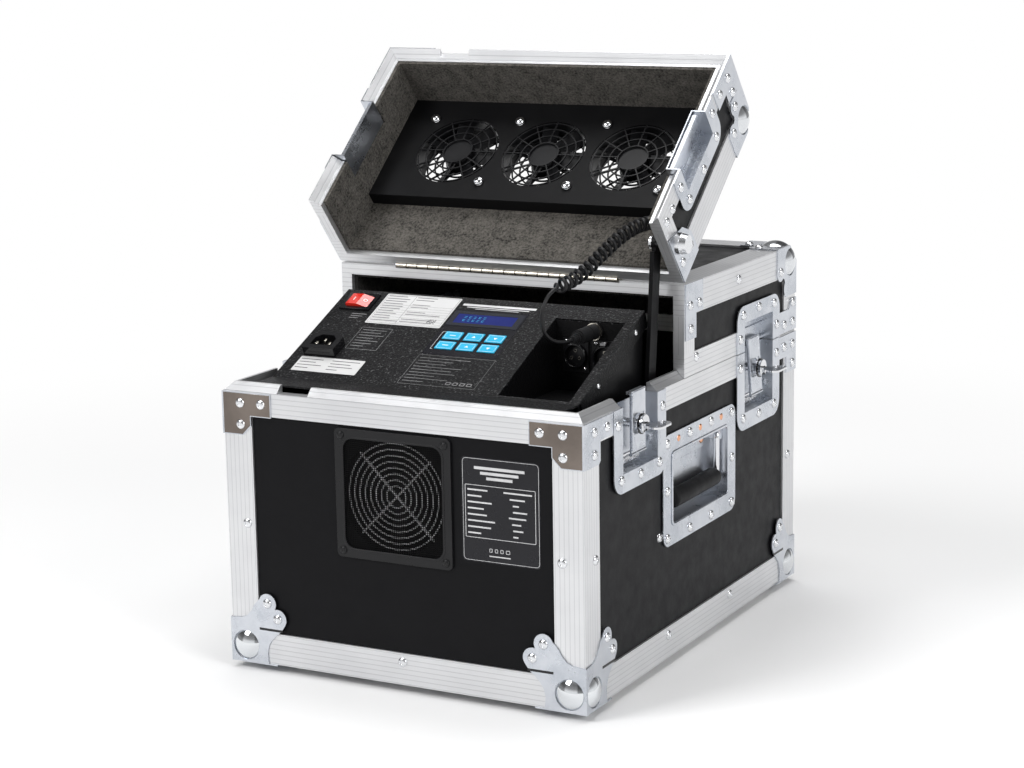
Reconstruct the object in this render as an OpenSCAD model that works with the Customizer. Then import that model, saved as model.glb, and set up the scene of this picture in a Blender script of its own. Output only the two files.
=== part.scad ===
/* [Case] */
// Outer width over the aluminium edges
case_w = 370; // [366:1:376]
// Outer depth over the aluminium edges
case_d = 490; // [486:1:496]
// Height of the base up to the opening seam
base_h = 259; // [257:1:262]
// Height of the two upper sections above the seam
cover_h = 88; // [86:1:92]
// Depth of the front lid, from its front face to the piano hinge
lid_d = 211; // [209:1:213]
// Width of the aluminium edge profiles
edge_w = 30; // [26:1:32]
// Plywood wall thickness
ply = 9; // [8:0.5:9.5]
// Height of the rubber feet below the case
foot_h = 8; // [7:1:12]
// Angle that the lid stands open from closed
lid_open = 140; // [135:1:145]

/* [Panel] */
// Slope of the control panel
slope = 24; // [23:0.5:24.5]
// Length of the control panel up its slope
panel_l = 151; // [150:1:152]
// Height of the front crease of the control panel
crease_z = 265; // [264:0.5:265.5]

/* [Fans] */
// Outer size of each square lid fan
lid_fan = 92; // [90:1:92]
// Distance between lid fan centres
fan_pitch = 96; // [94:1:96]
// Outer size of the square intake filter frame
filter = 120; // [118:1:122]

/* [Hidden] */
$fn = 48;

case_h = base_h + cover_h;
skin = 2;
wall = skin + ply;
band_h = 22;
rim_h = 10;
seam_gap = 0.5;
plate = 1.2;

// latches, measured along the side from the front face and up from the case bottom
latch_front_y = 113;
latch_rear_y = 391;
knob_z = base_h - 22;
dish_w = 75;
dish_low = base_h - 62;
dish_deep = 13;
dish_top = base_h + 30;
flange_w = 110;
flange_low = base_h - 78;
flange_top = base_h + 46;
hook_w = 30;
hook_axis = [1.8, knob_z - 26];
hook_tilt = 4;
barrel_r = 8.5;
wing_tip = 27;
wing_w = 30;
wing_t = 2;
neck_w = 8;
wing_pin_x = -3.2;
wing_pin_r = 1.1;

// recessed side handles
handle_y = 249;
handle_z = 160;
handle_flange = [170, 106];
handle_mouth = [130, 68];
handle_deep = 17.2;
grip_r = 9;
bail_z = handle_z + 27;
bail_x = 8;

// ball corners
ball_r = 21;
ball_in = 15.5;
ball_hole = 14.3;
wide_rivets = [[40.5, 58.5], [51.5, 44.5]];
wide_edge = [[-plate, -plate], [-plate, 41], [12, 42.3], [18, 45], [22.5, 50], [26, 56], [31.6, 61.8],
    [40.5, 58.5], [51.5, 44.5], [59, 38.6], [55, 33], [49, 28], [44, 23], [40.5, 17], [39, 10],
    [40.2, -plate]];
rivet_r = 4.5;
rivet_h = 1.8;

// hinge between cover and lid, and hinge between cover and base
knuckle_r = 2.5;
pin_r = 1;
hinge_z = case_h + 1;
hinge_x0 = 63;
knuckle_l = 12;
knuckle_n = 20;
rear_axis_y = case_d + 1;
barrel_room_r = 3.5;

// control panel
panel_x0 = 26;
crease_y = 43.4;
sheet = 1.5;
pocket_x0 = 263;
pocket_x1 = 334;
pocket_v0 = 3.4;
pocket_v1 = 128.5;
pocket_z = 250;
key_size = [18, 12, 1.8];
key_u = [175, 197.4, 219.8];
key_v = [87, 71];
sheet_top = crease_z + panel_l * sin(slope);

// fans in the lid
plate_under = case_h - 28;
fan_y = 82;
fan_bore = 43.5;
intake_x = case_w / 2 - 5.5;
intake_z = 174;

// lid stay, its pivot given with the lid closed
stay_y = lid_d - 13;
stay_z = case_h - 40;
stay_x = case_w - 20.5;
stay_l = 134;
stay_w = 15;
stay_t = 4;

// fan lead, as points measured from the front left bottom corner of the case
coil_path = [[339, 246, 407], [336, 232, 404], [329, 198, 404], [323, 174, 397], [316, 149, 385],
    [308, 122, 370], [299, 92, 358]];
tail_path = [[298.6, 90.7, 357.3], [296, 82, 352], [294, 75, 341], [294, 73, 330], [295, 77, 319],
    [298, 87, 311], [302, 100, 308], [304, 112, 308]];
coil_r = 6.5;
lead_r = 2;

module in_case() translate([-case_w / 2, -case_d / 2, foot_h]) children();

module in_lid() in_case() translate([0, lid_d, hinge_z]) rotate([-lid_open, 0, 0])
    translate([0, -lid_d, -hinge_z]) children();

module on_panel() in_case() translate([0, crease_y, crease_z]) rotate([slope, 0, 0]) children();

module both_sides() {
    children();
    translate([case_w, 0, 0]) mirror([1, 0, 0]) children();
}

module on_side(right) {
    if (right) translate([case_w, 0, 0]) mirror([1, 0, 0]) children();
    else children();
}

module span(lo, hi) translate(lo) cube(hi - lo);

// a flat plate lying in the plane of the left side, y and z as its outline's axes
module side_sheet(x, t) translate([x, 0, 0]) rotate([90, 0, 90]) linear_extrude(t) children();

module front_sheet(y, t) translate([0, y + t, 0]) rotate([90, 0, 0]) linear_extrude(t) children();

module rounded(lo, hi, r) {
    translate([lo[0] + r, lo[1]]) square([hi[0] - lo[0] - 2 * r, hi[1] - lo[1]]);
    translate([lo[0], lo[1] + r]) square([hi[0] - lo[0], hi[1] - lo[1] - 2 * r]);
    for (x = [lo[0] + r, hi[0] - r], y = [lo[1] + r, hi[1] - r]) translate([x, y]) circle(r);
}

// the wedge-shaped tongue that stands on the base rim; grow makes the room for it in the lid
module tongue_block(grow) intersection() {
    rotate([90, 0, 90]) linear_extrude(case_w)
        polygon([[0.8 - grow, base_h], [case_d - 0.8 + grow, base_h],
            [case_d - 8 + grow, base_h + 7.2], [case_d - 8 + grow, base_h + 7.2 + grow],
            [8 - grow, base_h + 7.2 + grow], [8 - grow, base_h + 7.2]]);
    translate([0, case_d, 0]) rotate([90, 0, 0]) linear_extrude(case_d)
        polygon([[0.8 - grow, base_h], [case_w - 0.8 + grow, base_h],
            [case_w - 8 + grow, base_h + 7.2], [case_w - 8 + grow, base_h + 7.2 + grow],
            [8 - grow, base_h + 7.2 + grow], [8 - grow, base_h + 7.2]]);
}

module corner_balls(z_list, y_list, r) for (y = y_list, z = z_list, x = [ball_in, case_w - ball_in])
    translate([x, y, z]) {
        sphere(r);
        translate([x > ball_in ? 0 : -ball_in - 1, y > ball_in ? 0 : -ball_in - 1,
            z > ball_in ? 0 : -ball_in - 1]) cube(ball_in + 1);
    }

// every opening that latches and handles need in the base walls and edges
module base_cuts() {
    both_sides() {
        for (y = [latch_front_y, latch_rear_y]) {
            span([-1, y - dish_w / 2 - 1, dish_low - 1], [dish_deep + 1, y + dish_w / 2 + 1, case_h]);
        }
        span([-1, handle_y - handle_mouth[0] / 2 - 1, handle_z - handle_mouth[1] / 2 - 1],
            [wall + 1, handle_y + handle_mouth[0] / 2 + 1, handle_z + handle_mouth[1] / 2 + 1]);
    }
    corner_balls([ball_in], [ball_in, case_d - ball_in], ball_r);
    rear_hinge_room();
}

// relief in the rear edges round the barrels of the cover's hinges
module rear_hinge_room() both_sides() translate([3, rear_axis_y, base_h]) rotate([0, 90, 0])
    cylinder(r = barrel_room_r, h = 52);

module upper_latch_cuts(y) both_sides()
    span([-1, y - dish_w / 2 - 1, base_h], [dish_deep + 1, y + dish_w / 2 + 1, dish_top + 1]);

// plywood
module base_panels() color("#2a292d") in_case() difference() {
    span([skin, skin, skin], [case_w - skin, case_d - skin, base_h - rim_h]);
    span([wall, wall, wall], [case_w - wall, case_d - wall, base_h]);
    base_cuts();
    translate([intake_x, wall + 1, intake_z]) rotate([90, 0, 0]) cylinder(r = 54, h = wall + 2);
}

module base_extrusions() color("#c9cacf") in_case() difference() {
    union() {
        difference() {
            cube([case_w, case_d, base_h]);
            span([skin, skin, skin], [case_w - skin, case_d - skin, base_h - rim_h]);
            span([wall, wall, skin], [case_w - wall, case_d - wall, base_h + 1]);
            span([-1, edge_w, edge_w], [case_w + 1, case_d - edge_w, base_h - band_h]);
            span([edge_w, -1, edge_w], [case_w - edge_w, case_d + 1, base_h - band_h]);
            span([edge_w, edge_w, -1], [case_w - edge_w, case_d - edge_w, skin + 1]);
        }
        difference() {
            tongue_block(0);
            span([wall, wall, 0], [case_w - wall, case_d - wall, case_h]);
            span([58, -1, base_h], [91, wall + 1, case_h]);
        }
    }
    base_cuts();
}

// zinc-plated corner brackets, ball corners, rear hinge plates and the stay's guide
module ball_corner(zc, yc, dy, dz) both_sides() {
    difference() {
        translate([ball_in, yc, zc]) sphere(ball_r);
        span([wall, wall, wall], [case_w - wall, case_d - wall, case_h - wall]);
    }
    ball_flange_x(yc, zc, dy, dz);
    ball_flange_y(yc, zc, dy, dz);
    ball_flange_z(yc, zc, dy, dz);
}

// outline of a small corner flange round the ball at c, reaching along a and b and over both edges
module lobes(c, a, b) {
    reach = 26;
    edge = ball_in + plate;
    difference() {
        union() {
            translate(c + [a * 8, b * reach]) circle(9);
            translate(c + [a * reach, b * 8]) circle(9);
            polygon([c + [-a * edge, 0], c + [-a * edge, b * 34], c + [a * 8, b * 34.5],
                c + [a * 16, b * 16], c + [a * 34.5, b * 8], c + [a * 34, -b * edge],
                c + [0, -b * edge]]);
        }
        translate(c) circle(ball_hole);
    }
}

// outline of a lower corner bracket, whose two lobes reach past the profiles onto the panel
module wide_lobes(c, a, b) difference() {
    union() {
        for (p = wide_rivets) translate(c + [a * (p[0] - ball_in), b * (p[1] - ball_in)]) circle(9.5);
        polygon([for (p = wide_edge) c + [a * (p[0] - ball_in), b * (p[1] - ball_in)]]);
    }
    translate(c) circle(ball_hole);
}

module corner_outline(c, a, b, wide) {
    if (wide) wide_lobes(c, a, b);
    else lobes(c, a, b);
}

module ball_flange_x(yc, zc, dy, dz) side_sheet(-plate, plate) corner_outline([yc, zc], dy, dz, dz > 0);

module ball_flange_y(yc, zc, dy, dz) translate([0, yc - dy * ball_in, 0])
    mirror([0, dy > 0 ? 0 : 1, 0]) translate([0, -plate, 0]) front_sheet(0, plate)
        corner_outline([ball_in, zc], 1, dz, dz > 0);

module ball_flange_z(yc, zc, dy, dz) translate([0, 0, zc - dz * ball_in - (dz > 0 ? plate : 0)])
    linear_extrude(plate) lobes([ball_in, yc], 1, dy);

module front_bracket() both_sides() {
    front_sheet(-plate, plate) polygon([[0, 218], [21, 218], [30, 227], [30, base_h - 23],
        [52, base_h - 23], [52, base_h - 1], [0, base_h - 1]]);
    side_sheet(-plate, plate) polygon([[-plate, 218], [28, 218], [31, 221], [31, base_h - 20],
        [56, base_h - 20], [56, base_h - 1], [-plate, base_h - 1]]);
}

module rear_hinge_lower() both_sides() {
    side_sheet(-plate, plate) polygon([[case_d - 44, base_h - 24], [case_d - 44, base_h - 1.5],
        [case_d + plate, base_h - 1.5], [case_d + plate, base_h - 41], [case_d - 25, base_h - 41],
        [case_d - 25, base_h - 24]]);
    front_sheet(case_d, plate) polygon([[0, base_h - 41], [0, base_h - 3.4], [60, base_h - 3.4],
        [60, base_h - 24], [30, base_h - 41]]);
    for (x = [4, 36]) {
        translate([x, rear_axis_y, base_h]) rotate([0, 90, 0]) cylinder(r = 3, h = 15.7);
        span([x, rear_axis_y - 1, base_h - 6], [x + 15.7, rear_axis_y + plate - 1, base_h - 2]);
    }
    translate([4, rear_axis_y, base_h]) rotate([0, 90, 0]) cylinder(r = pin_r, h = 50);
}

module stay_guide() span([case_w - 18, 152, base_h - 12], [case_w - wall, 210, base_h - 9]);

module base_fittings() color("#b9bfc8") in_case() {
    for (y = [0, 1]) ball_corner(ball_in, y == 0 ? ball_in : case_d - ball_in, y == 0 ? 1 : -1, 1);
    front_bracket();
    rear_hinge_lower();
    stay_guide();
}

// rivet heads on the left side at depth x, as pairs of distances along the side and up
module side_rivets(x, at) both_sides() for (p = at)
    translate([x - rivet_h, p[0], p[1]]) rotate([0, 90, 0]) cylinder(r1 = 3, r2 = rivet_r, h = rivet_h);

module face_rivets(y, at) for (p = at)
    translate([p[0], y - rivet_h, p[1]]) rotate([-90, 0, 0])
        cylinder(r1 = 3, r2 = rivet_r, h = rivet_h);

module back_rivets(y, at) for (p = at)
    translate([p[0], y, p[1]]) rotate([-90, 0, 0]) cylinder(r1 = rivet_r, r2 = 3, h = rivet_h);

function lower_latch_rivets(y) = [[y - 47, base_h - 15], [y + 47, base_h - 15],
    [y - 40, base_h - 66], [y, base_h - 68], [y + 40, base_h - 66]];

function upper_latch_rivets(y) = [[y - 47, base_h + 14], [y + 47, base_h + 14],
    [y - 40, base_h + 37], [y, base_h + 39.5], [y + 40, base_h + 37]];

handle_rivets = [for (p = [[-76, 45], [-25, 46], [25, 46], [76, 45], [-76, 0], [76, 0],
    [-76, -45], [-25, -46], [25, -46], [76, -45]]) [handle_y + p[0], handle_z + p[1]]];

module base_rivets() color("#e2e3e6") in_case() {
    side_rivets(-plate, concat(lower_latch_rivets(latch_front_y), lower_latch_rivets(latch_rear_y),
        [[19, base_h - 11], [44, base_h - 11], [19, 228]],
        [[case_d - 32, base_h - 13], [case_d - 9, base_h - 13], [case_d - 9, base_h - 33]],
        wide_rivets, [for (p = wide_rivets) [case_d - p[0], p[1]]]));
    side_rivets(0, concat(handle_rivets, [[21, 134], [case_d - 18, 131], [174, 22], [320, 22]]));
    both_sides() {
        face_rivets(-plate, concat([[19, base_h - 11], [41.5, base_h - 11], [19, 228]], wide_rivets));
        face_rivets(0, [[21.5, 134]]);
        back_rivets(case_d + plate, concat([[16, base_h - 14], [46, base_h - 14], [16, base_h - 32]],
            wide_rivets));
        back_rivets(case_d, [[21.5, 134]]);
    }
    face_rivets(0, [[case_w / 2, 21.7]]);
    back_rivets(case_d, [[case_w / 2, 21.7]]);
    side_rivets(skin, [[handle_y - 90, 119.6]]);
    both_sides() for (v = [40, 126]) translate([0, crease_y, crease_z]) rotate([slope, 0, 0])
        translate([panel_x0 - 0.5, v, -8]) rotate([0, 90, 0]) cylinder(r = 2.4, h = 0.5);
}

module rubber_feet() color("#1c1c1e") in_case()
    for (x = [62, case_w - 62], y = [62, case_d - 62]) translate([x, y, 0]) {
        translate([0, 0, -foot_h]) cylinder(r1 = 13, r2 = 15, h = foot_h);
        cylinder(r = 15, h = skin);
    }

// a stamped latch dish behind its flange, open at the seam
module lower_latch_dish(y) both_sides() difference() {
    union() {
        side_sheet(-plate, plate) difference() {
            union() {
                rounded([y - flange_w / 2, flange_low], [y + flange_w / 2, base_h - 20], 16);
                translate([y - flange_w / 2, base_h - 40]) square([flange_w, 39.5]);
            }
            translate([y - dish_w / 2, dish_low]) square([dish_w, 80]);
        }
        span([-plate, y - dish_w / 2, dish_low], [dish_deep, y + dish_w / 2, base_h - 0.5]);
    }
    span([-plate - 1, y - dish_w / 2 + 1, dish_low + 1],
        [dish_deep - 1, y + dish_w / 2 - 1, base_h]);
    translate([0, y, knob_z]) rotate([0, 90, 0]) cylinder(r = 4.05, h = dish_deep + 1);
}

module base_latch_dishes() color("#b9bfc8") in_case() {
    lower_latch_dish(latch_front_y);
    lower_latch_dish(latch_rear_y);
}

module upper_latch_dish(y) both_sides() {
    difference() {
        union() {
            side_sheet(-plate, plate) difference() {
                union() {
                    rounded([y - flange_w / 2, base_h + 12], [y + flange_w / 2, flange_top], 16);
                    translate([y - flange_w / 2, base_h + seam_gap]) square([flange_w, 28]);
                }
                translate([y - dish_w / 2, base_h - 1]) square([dish_w, 31]);
            }
            span([-plate, y - dish_w / 2, base_h + seam_gap], [dish_deep, y + dish_w / 2, dish_top]);
        }
        span([-plate - 1, y - dish_w / 2 + 1, base_h - 1],
            [dish_deep - 1, y + dish_w / 2 - 1, dish_top - 1]);
    }
    span([7.4, y - dish_w / 2 + 1, base_h + 3], [10.4, y + dish_w / 2 - 1, base_h + 5.5]);
    span([10.4, y - dish_w / 2 + 1, base_h + 3], [11.4, y + dish_w / 2 - 1, base_h + 18]);
    span([11.4, y - dish_w / 2 + 1, base_h + 12], [dish_deep - 1, y + dish_w / 2 - 1, base_h + 18]);
}

module handle_dishes() color("#b9bfc8") in_case() both_sides() difference() {
    union() {
        side_sheet(0, plate) difference() {
            rounded([handle_y - handle_flange[0] / 2, handle_z - handle_flange[1] / 2],
                [handle_y + handle_flange[0] / 2, handle_z + handle_flange[1] / 2], 12);
            translate([handle_y - handle_mouth[0] / 2, handle_z - handle_mouth[1] / 2])
                square(handle_mouth);
        }
        span([0, handle_y - handle_mouth[0] / 2, handle_z - handle_mouth[1] / 2],
            [handle_deep + 0.8, handle_y + handle_mouth[0] / 2, handle_z + handle_mouth[1] / 2]);
    }
    span([-3, handle_y - handle_mouth[0] / 2 + 1, handle_z - handle_mouth[1] / 2 + 1],
        [handle_deep, handle_y + handle_mouth[0] / 2 - 1, handle_z + handle_mouth[1] / 2 - 1]);
}

module handle(right) color("#8a8f96") in_case() on_side(right) {
    reach = handle_mouth[0] / 2 - 8;
    low = handle_z - 14;
    for (s = [-1, 1]) {
        translate([bail_x, handle_y + s * reach, low]) cylinder(r = 3, h = bail_z - low);
        translate([bail_x, handle_y + s * reach, bail_z]) sphere(3);
        translate([bail_x, handle_y + s * reach, low]) sphere(3);
        translate([bail_x, handle_y + s * (reach + 6.4), bail_z]) rotate([s * 90, 0, 0])
            cylinder(r = 3, h = 6.4);
    }
    translate([bail_x, handle_y + reach, low]) rotate([90, 0, 0]) cylinder(r = 3, h = 2 * reach);
    translate([bail_x, handle_y + reach - 5, low]) rotate([90, 0, 0])
        cylinder(r = grip_r, h = 2 * reach - 10);
}

// air intake on the front
module filter_frame() color("#17171a") in_case() translate([intake_x, 0, intake_z]) {
    difference() {
        front_sheet(-1, 3) rounded([-filter / 2, -filter / 2], [filter / 2, filter / 2], 4);
        front_sheet(-2, 5) rounded([-51, -51], [51, 51], 12);
    }
    front_sheet(1.2, 0.8) rounded([-51, -51], [51, 51], 12);
}

module finger_guard() color("#8d9096") in_case() translate([intake_x, 6, intake_z])
    rotate([90, 0, 0]) {
        for (r = [10 : 5.6 : 50]) rotate_extrude() translate([r, 0]) circle(r = 0.8, $fn = 16);
        for (a = [45, 135]) rotate([0, 0, a]) translate([-53, -0.9, -2.5]) cube([106, 1.8, 1.8]);
    }

module fan_frame(s, t, bore, hub) {
    difference() {
        translate([-s / 2, -s / 2, 0]) cube([s, s, t]);
        translate([0, 0, -1]) cylinder(r = bore, h = t + 2);
    }
    difference() {
        union() {
            translate([0, 0, t - 2]) cylinder(r = hub, h = 2);
            for (a = [0 : 90 : 270]) rotate([0, 0, a + 20]) translate([0, -1.5, t - 2])
                cube([bore + 1, 3, 2]);
        }
        translate([0, 0, t - 3]) cylinder(r = 3, h = 2);
    }
}

module rotor(bore, t, hub, blades) {
    cylinder(r = hub, h = t);
    intersection() {
        cylinder(r = bore - 1, h = t);
        for (i = [0 : blades - 1]) rotate([0, 0, i * 360 / blades]) translate([bore / 2, 0, t / 2])
            rotate([38, 0, 0]) cube([bore, t * 1.35, 1.4], center = true);
    }
}

module intake_fan_frame() color("#1b1b1d") in_case() translate([intake_x, wall, intake_z])
    rotate([-90, 0, 0]) fan_frame(118, 25, 56, 20);

module intake_rotor() color("#222225") in_case() translate([intake_x, wall + 1, intake_z])
    rotate([-90, 0, 0]) rotor(55, 21.5, 19, 7);

// sheet-metal chassis under the control panel
module chassis_side() side_sheet(panel_x0 + sheet, sheet) polygon([[crease_y + 2, 60], [180, 60],
    [180, crease_z - 2 + (180 - crease_y) * tan(slope)], [crease_y + 2, crease_z - 1.2]]);

module chassis() color("#141416") in_case() {
    both_sides() chassis_side();
    span([panel_x0 + 2 * sheet, crease_y + 2, 60], [case_w - panel_x0 - 2 * sheet, 180, 61.5]);
    span([panel_x0 + 2 * sheet, 178.5, 61.5], [case_w - panel_x0 - 2 * sheet, 180, 315]);
}

module panel_profile() polygon([[wall + 1, crease_z], [wall + 1, crease_z - sheet],
    [crease_y + sheet * tan(slope / 2), crease_z - sheet],
    [crease_y + panel_l * cos(slope) + sheet * sin(slope), sheet_top - sheet * cos(slope)],
    [crease_y + panel_l * cos(slope), sheet_top], [crease_y, crease_z]]);

module pocket_outline(grow) polygon([[crease_y + 3 - grow, pocket_z - grow],
    [crease_y + pocket_v1 * cos(slope) + grow, pocket_z - grow],
    [crease_y + pocket_v1 * cos(slope) + grow, crease_z + pocket_v1 * sin(slope) - 0.4],
    [crease_y + 3 - grow, crease_z + 1]]);

module control_panel() color("#1a1a1d") {
    difference() {
        in_case() side_sheet(panel_x0, case_w - 2 * panel_x0) panel_profile();
        on_panel() panel_holes();
    }
    in_case() {
        both_sides() translate([panel_x0, crease_y, crease_z]) rotate([slope, 0, 0])
            translate([0, 4, -17]) cube([sheet, panel_l - 4, 17 - sheet]);
        difference() {
            translate([pocket_x0 - plate, 0, 0]) rotate([90, 0, 90])
                linear_extrude(pocket_x1 - pocket_x0 + 2 * plate) pocket_outline(plate);
            translate([pocket_x0, 0, 0]) rotate([90, 0, 90])
                linear_extrude(pocket_x1 - pocket_x0) pocket_outline(0);
            translate([0, crease_y, crease_z]) rotate([slope, 0, 0])
                translate([pocket_x0 - 5, -10, -sheet]) cube([80, 170, 20]);
            socket_holes();
        }
    }
}

module panel_holes() {
    translate([pocket_x0, pocket_v0, -9]) cube([pocket_x1 - pocket_x0, pocket_v1 - pocket_v0, 20]);
    for (u = key_u, v = key_v) translate([u - key_size[0] / 2 - 0.4, v - key_size[1] / 2 - 0.4, -9])
        cube([key_size[0] + 0.8, key_size[1] + 0.8, 20]);
    translate([161, 107, -9]) cube([68, 18, 20]);
    translate([37, 119, -9]) cube([28, 21, 20]);
    translate([42, 41, -9]) cube([28, 22, 20]);
}

socket_y = crease_y + pocket_v1 * cos(slope);

module socket_holes() {
    for (x = [284, 314]) translate([x, socket_y + 5, 284]) rotate([90, 0, 0])
        cylinder(r = 12.2, h = 10);
    translate([304, socket_y + 5, 308]) rotate([90, 0, 0]) cylinder(r = 5.2, h = 10);
}

module panel_sockets() color("#26262a") in_case() {
    for (x = [284, 314]) translate([x, socket_y, 284]) rotate([90, 0, 0]) difference() {
        union() {
            translate([-13, -15.5, 0]) cube([26, 31, 1.6]);
            translate([0, 0, -12]) cylinder(r = 12, h = 14);
        }
        cylinder(r = 9.5, h = 3);
        for (a = [90, 210, 330]) rotate([0, 0, a]) translate([5, 0, -5]) cylinder(r = 1.2, h = 6);
    }
    translate([304, socket_y, 308]) rotate([90, 0, 0]) difference() {
        union() {
            translate([0, 0, -14]) cylinder(r = 5, h = 14);
            cylinder(r = 7.5, h = 2);
        }
        translate([0, 0, -13]) cylinder(r = 3.1, h = 16);
    }
}

module display_module() color("#20306a") on_panel() {
    translate([161.3, 107.3, -sheet]) cube([67.4, 17.4, 1.2]);
    translate([155, 99, -9]) cube([80, 36, 9 - sheet]);
}

module power_inlet() color("#111114") on_panel() translate([56, 52, 0]) difference() {
    union() {
        linear_extrude(9) polygon([[-17, -14], [17, -14], [17, 7], [10, 14], [-10, 14], [-17, 7]]);
        translate([-13.5, -10.5, -16]) cube([27, 21, 16]);
    }
    translate([0, 0, 1]) linear_extrude(9) polygon([[-11.5, -8], [11.5, -8], [11.5, 3],
        [6.5, 8.5], [-6.5, 8.5], [-11.5, 3]]);
}

module switch_bezel() color("#121214") on_panel() translate([51, 129.5, 0]) difference() {
    union() {
        translate([-16.5, -13.3, 0]) cube([33, 26.6, 2]);
        translate([-13.7, -10.2, -14]) cube([27.4, 20.4, 14]);
    }
    translate([-12.5, -9, -10]) cube([25, 18, 13]);
}

rocker_at = [51, 129.5, -1.5];

module power_rocker() color("#e03a16") on_panel() translate(rocker_at) rotate([0, 8, 0]) {
    rotate([90, 0, 0]) translate([0, 0, -8.6]) linear_extrude(17.2)
        polygon([[-11.6, 4.4], [-11.6, 0], [-4, -5], [4, -5], [11.6, 0], [11.6, 4.4], [0, 6.4]]);
    rocker_pin();
}

// round pin that the rocker tilts on
module rocker_pin() rotate([90, 0, 0]) translate([0, 0, -8.9]) cylinder(r = 1.5, h = 17.8);

module key(i) color("#19a7d8") on_panel() translate([key_u[i % 3] - key_size[0] / 2,
    key_v[floor(i / 3)] - key_size[1] / 2, -1]) cube(key_size);

// inside the base
module fluid_tank() color("#e9ead9") in_case() {
    difference() {
        span([24, 200, wall + 1], [175, 330, 200]);
        span([26, 202, wall + 3], [173, 328, 198]);
        translate([60, 265, 190]) cylinder(r = 16, h = 12);
    }
    difference() {
        translate([60, 265, 198]) cylinder(r = 20, h = 16);
        translate([60, 265, 190]) cylinder(r = 16, h = 25);
    }
    translate([60, 265, 214.2]) cylinder(r = 23, h = 6);
}

module fog_engine() color("#9a9ea3") in_case() {
    span([205, 215, wall], [330, 330, wall + 4]);
    translate([267, 275, 20]) cylinder(r = 38, h = 150);
    translate([267, 275, 170]) cylinder(r = 14, h = 20);
    translate([267, 275, 190]) rotate([40, 0, 0]) cylinder(r = 8, h = 75);
    span([220, 360, wall], [300, 430, 70]);
    translate([260, 395, 70]) cylinder(r = 20, h = 35);
}

module control_board() color("#1f6b3a") in_case() {
    span([120, 60, 61.5], [320, 165, 63.5]);
    span([140, 70, 63.5], [185, 110, 95]);
    span([205, 75, 63.5], [240, 105, 85]);
    for (x = [255, 275, 295]) translate([x, 90, 63.5]) cylinder(r = 8, h = 30);
}

// rear cover
module hinge_room() translate([hinge_x0 - 1, lid_d, hinge_z]) rotate([0, 90, 0])
    cylinder(r = knuckle_r + 0.4, h = knuckle_l * knuckle_n + 2);

module cover_cuts() {
    tongue_block(0.5);
    upper_latch_cuts(latch_rear_y);
    hinge_room();
    corner_balls([case_h - ball_in], [case_d - ball_in], ball_r);
    rear_hinge_room();
}

module cover_panels() color("#2a292d") in_case() difference() {
    span([skin, lid_d + rim_h, base_h + rim_h], [case_w - skin, case_d - skin, case_h - skin]);
    span([wall, lid_d, base_h - 1], [case_w - wall, case_d - wall, case_h - wall]);
    cover_cuts();
}

module cover_extrusions() color("#c9cacf") in_case() difference() {
    span([0, lid_d + seam_gap, base_h + seam_gap], [case_w, case_d, case_h]);
    span([skin, lid_d + rim_h, base_h + rim_h], [case_w - skin, case_d - skin, case_h - skin]);
    span([wall, lid_d, base_h], [case_w - wall, case_d - wall, case_h - wall]);
    span([-1, lid_d + 24, base_h + band_h], [case_w + 1, case_d - edge_w, case_h - edge_w]);
    span([edge_w, case_d - 5, base_h + band_h], [case_w - edge_w, case_d + 1, case_h - edge_w]);
    span([edge_w, lid_d + 24, case_h - 5], [case_w - edge_w, case_d - edge_w, case_h + 1]);
    cover_cuts();
}

module cover_lining() color("#3a3836") in_case() difference() {
    span([wall, lid_d + 6, base_h + 8.5], [case_w - wall, case_d - wall, case_h - wall]);
    span([wall + 3, lid_d, base_h], [case_w - wall - 3, case_d - wall - 3, case_h - wall - 3]);
    upper_latch_cuts(latch_rear_y);
}

module cover_fittings() color("#b9bfc8") in_case() {
    ball_corner(case_h - ball_in, case_d - ball_in, -1, -1);
    both_sides() {
        side_sheet(-plate, plate) polygon([[lid_d + 2, base_h + 35], [lid_d + 26, base_h + 35],
            [lid_d + 26, base_h + 59], [lid_d + 42, base_h + 59], [lid_d + 42, case_h],
            [lid_d + 2, case_h]]);
        side_sheet(-plate, plate) polygon([[case_d - 44, base_h + 1.5],
            [case_d + plate, base_h + 1.5], [case_d + plate, base_h + 34],
            [case_d - 12, base_h + 34], [case_d - 18, base_h + 24],
            [case_d - 44, base_h + 24]]);
        front_sheet(case_d, plate) polygon([[0, base_h + 3.4], [60, base_h + 3.4],
            [60, base_h + 24], [30, base_h + 34], [0, base_h + 34]]);
        difference() {
            union() {
                translate([20, rear_axis_y, base_h]) rotate([0, 90, 0]) cylinder(r = 3, h = 15.7);
                span([20, rear_axis_y - 1, base_h + 2], [35.7, rear_axis_y + plate - 1, base_h + 6]);
            }
            translate([19, rear_axis_y, base_h]) rotate([0, 90, 0]) cylinder(r = pin_r + 0.05, h = 18);
        }
    }
    upper_latch_dish(latch_rear_y);
    piano_leaf(0);
    translate([hinge_x0, lid_d, hinge_z]) rotate([0, 90, 0])
        cylinder(r = pin_r, h = knuckle_l * knuckle_n);
}

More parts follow.
